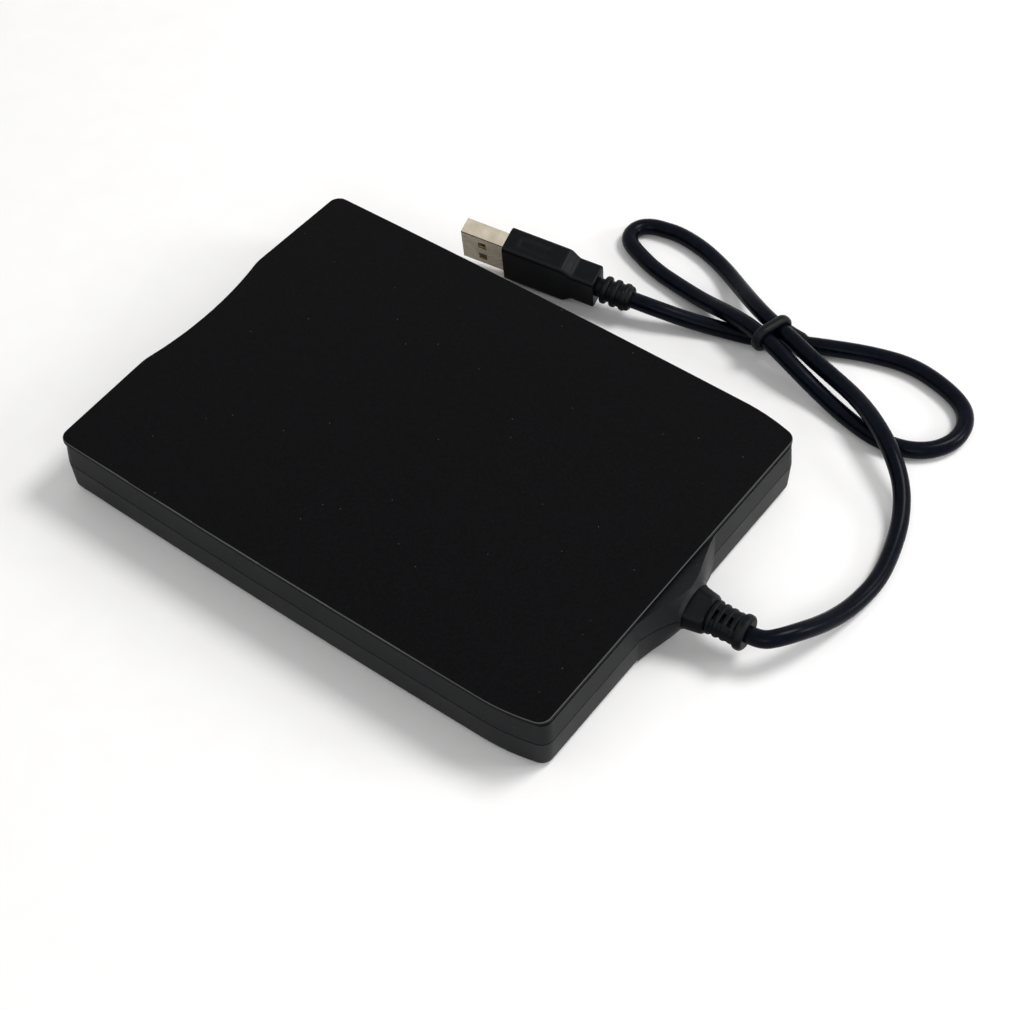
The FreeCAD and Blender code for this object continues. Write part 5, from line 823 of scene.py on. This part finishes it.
def seenRays(tree):
    # 1 for the rays that see or mirror the background, 0 for those that light the part
    rays = addNode(tree, "ShaderNodeLightPath")
    plain = addNode(tree, "ShaderNodeMath",
                    links={0: rays.outputs["Is Camera Ray"], 1: rays.outputs["Is Glossy Ray"]},
                    operation="MAXIMUM")
    seen = addNode(tree, "ShaderNodeMath",
                   links={0: plain.outputs[0], 1: rays.outputs["Is Transmission Ray"]}, operation="MAXIMUM")
    return seen.outputs[0]


def paperFloor(look):
    # smooth paper sweep: almost white, with a breath of fibre in it, plain white far from the part
    material, tree = startMaterial("smooth_paper_sweep")
    place = addNode(tree, "ShaderNodeTexCoord").outputs["Object"]
    fibre = addNode(tree, "ShaderNodeTexNoise", {"Scale": 1 / (look["fibre"] * mm), "Detail": 3.0},
                    {"Vector": place})
    body = addNode(tree, "ShaderNodeMix",
                   {6: linearColour(look["floorTone"]), 7: linearColour(look["fibreTone"])},
                   {0: fibre.outputs["Fac"]}, data_type="RGBA")
    paper = addNode(tree, "ShaderNodeBsdfPrincipled", {"Roughness": 0.9, "Specular IOR Level": 0.1},
                    {"Base Color": body.outputs[2]})
    away = addNode(tree, "ShaderNodeVectorMath", links={0: place}, operation="LENGTH")
    far = addNode(tree, "ShaderNodeMapRange",
                  {"From Min": look["fadeFrom"] * mm, "From Max": look["fadeTo"] * mm},
                  {"Value": away.outputs["Value"]})
    share = addNode(tree, "ShaderNodeMath", links={0: far.outputs["Result"], 1: seenRays(tree)},
                    operation="MULTIPLY")
    plain = addNode(tree, "ShaderNodeEmission", {"Color": (1, 1, 1, 1), "Strength": 1.0})
    shader = addNode(tree, "ShaderNodeMixShader",
                     links={0: share.outputs[0], 1: paper.outputs[0], 2: plain.outputs[0]})
    return closeMaterial(material, shader)


def buildStudio(look):
    half = look["floorSize"] / 2 * mm
    mesh = bpy.data.meshes.new("floorSheet")
    mesh.from_pydata([(-half, -half, 0), (half, -half, 0), (half, half, 0), (-half, half, 0)], [],
                     [(0, 1, 2, 3)])
    mesh.materials.append(paperFloor(look))
    floor = bpy.data.objects.new("floorSheet", mesh)
    bpy.context.scene.collection.objects.link(floor)
    floor.location.z = -look["floorDrop"] * mm
    for name, place, size, power in look["lamps"]:
        lamp = bpy.data.lights.new(name, "AREA")
        lamp.shape = "DISK"
        lamp.size = size * mm
        lamp.energy = power
        holder = bpy.data.objects.new(name, lamp)
        bpy.context.scene.collection.objects.link(holder)
        holder.location = Vector(place) * mm
        holder.rotation_euler = (-Vector(place)).to_track_quat("-Z", "Y").to_euler()
    world = bpy.data.worlds.new("softDome")
    world.use_nodes = True
    bpy.context.scene.world = world
    tree = world.node_tree
    tree.nodes.clear()
    strength = addNode(tree, "ShaderNodeMapRange", {"To Min": look["domeLight"], "To Max": 1.0},
                       {"Value": seenRays(tree)})
    dome = addNode(tree, "ShaderNodeBackground", {"Color": (1, 1, 1, 1)},
                   {"Strength": strength.outputs["Result"]})
    addNode(tree, "ShaderNodeOutputWorld", links={"Surface": dome.outputs[0]})


buildStudio(studioLook)
print("studio lit")
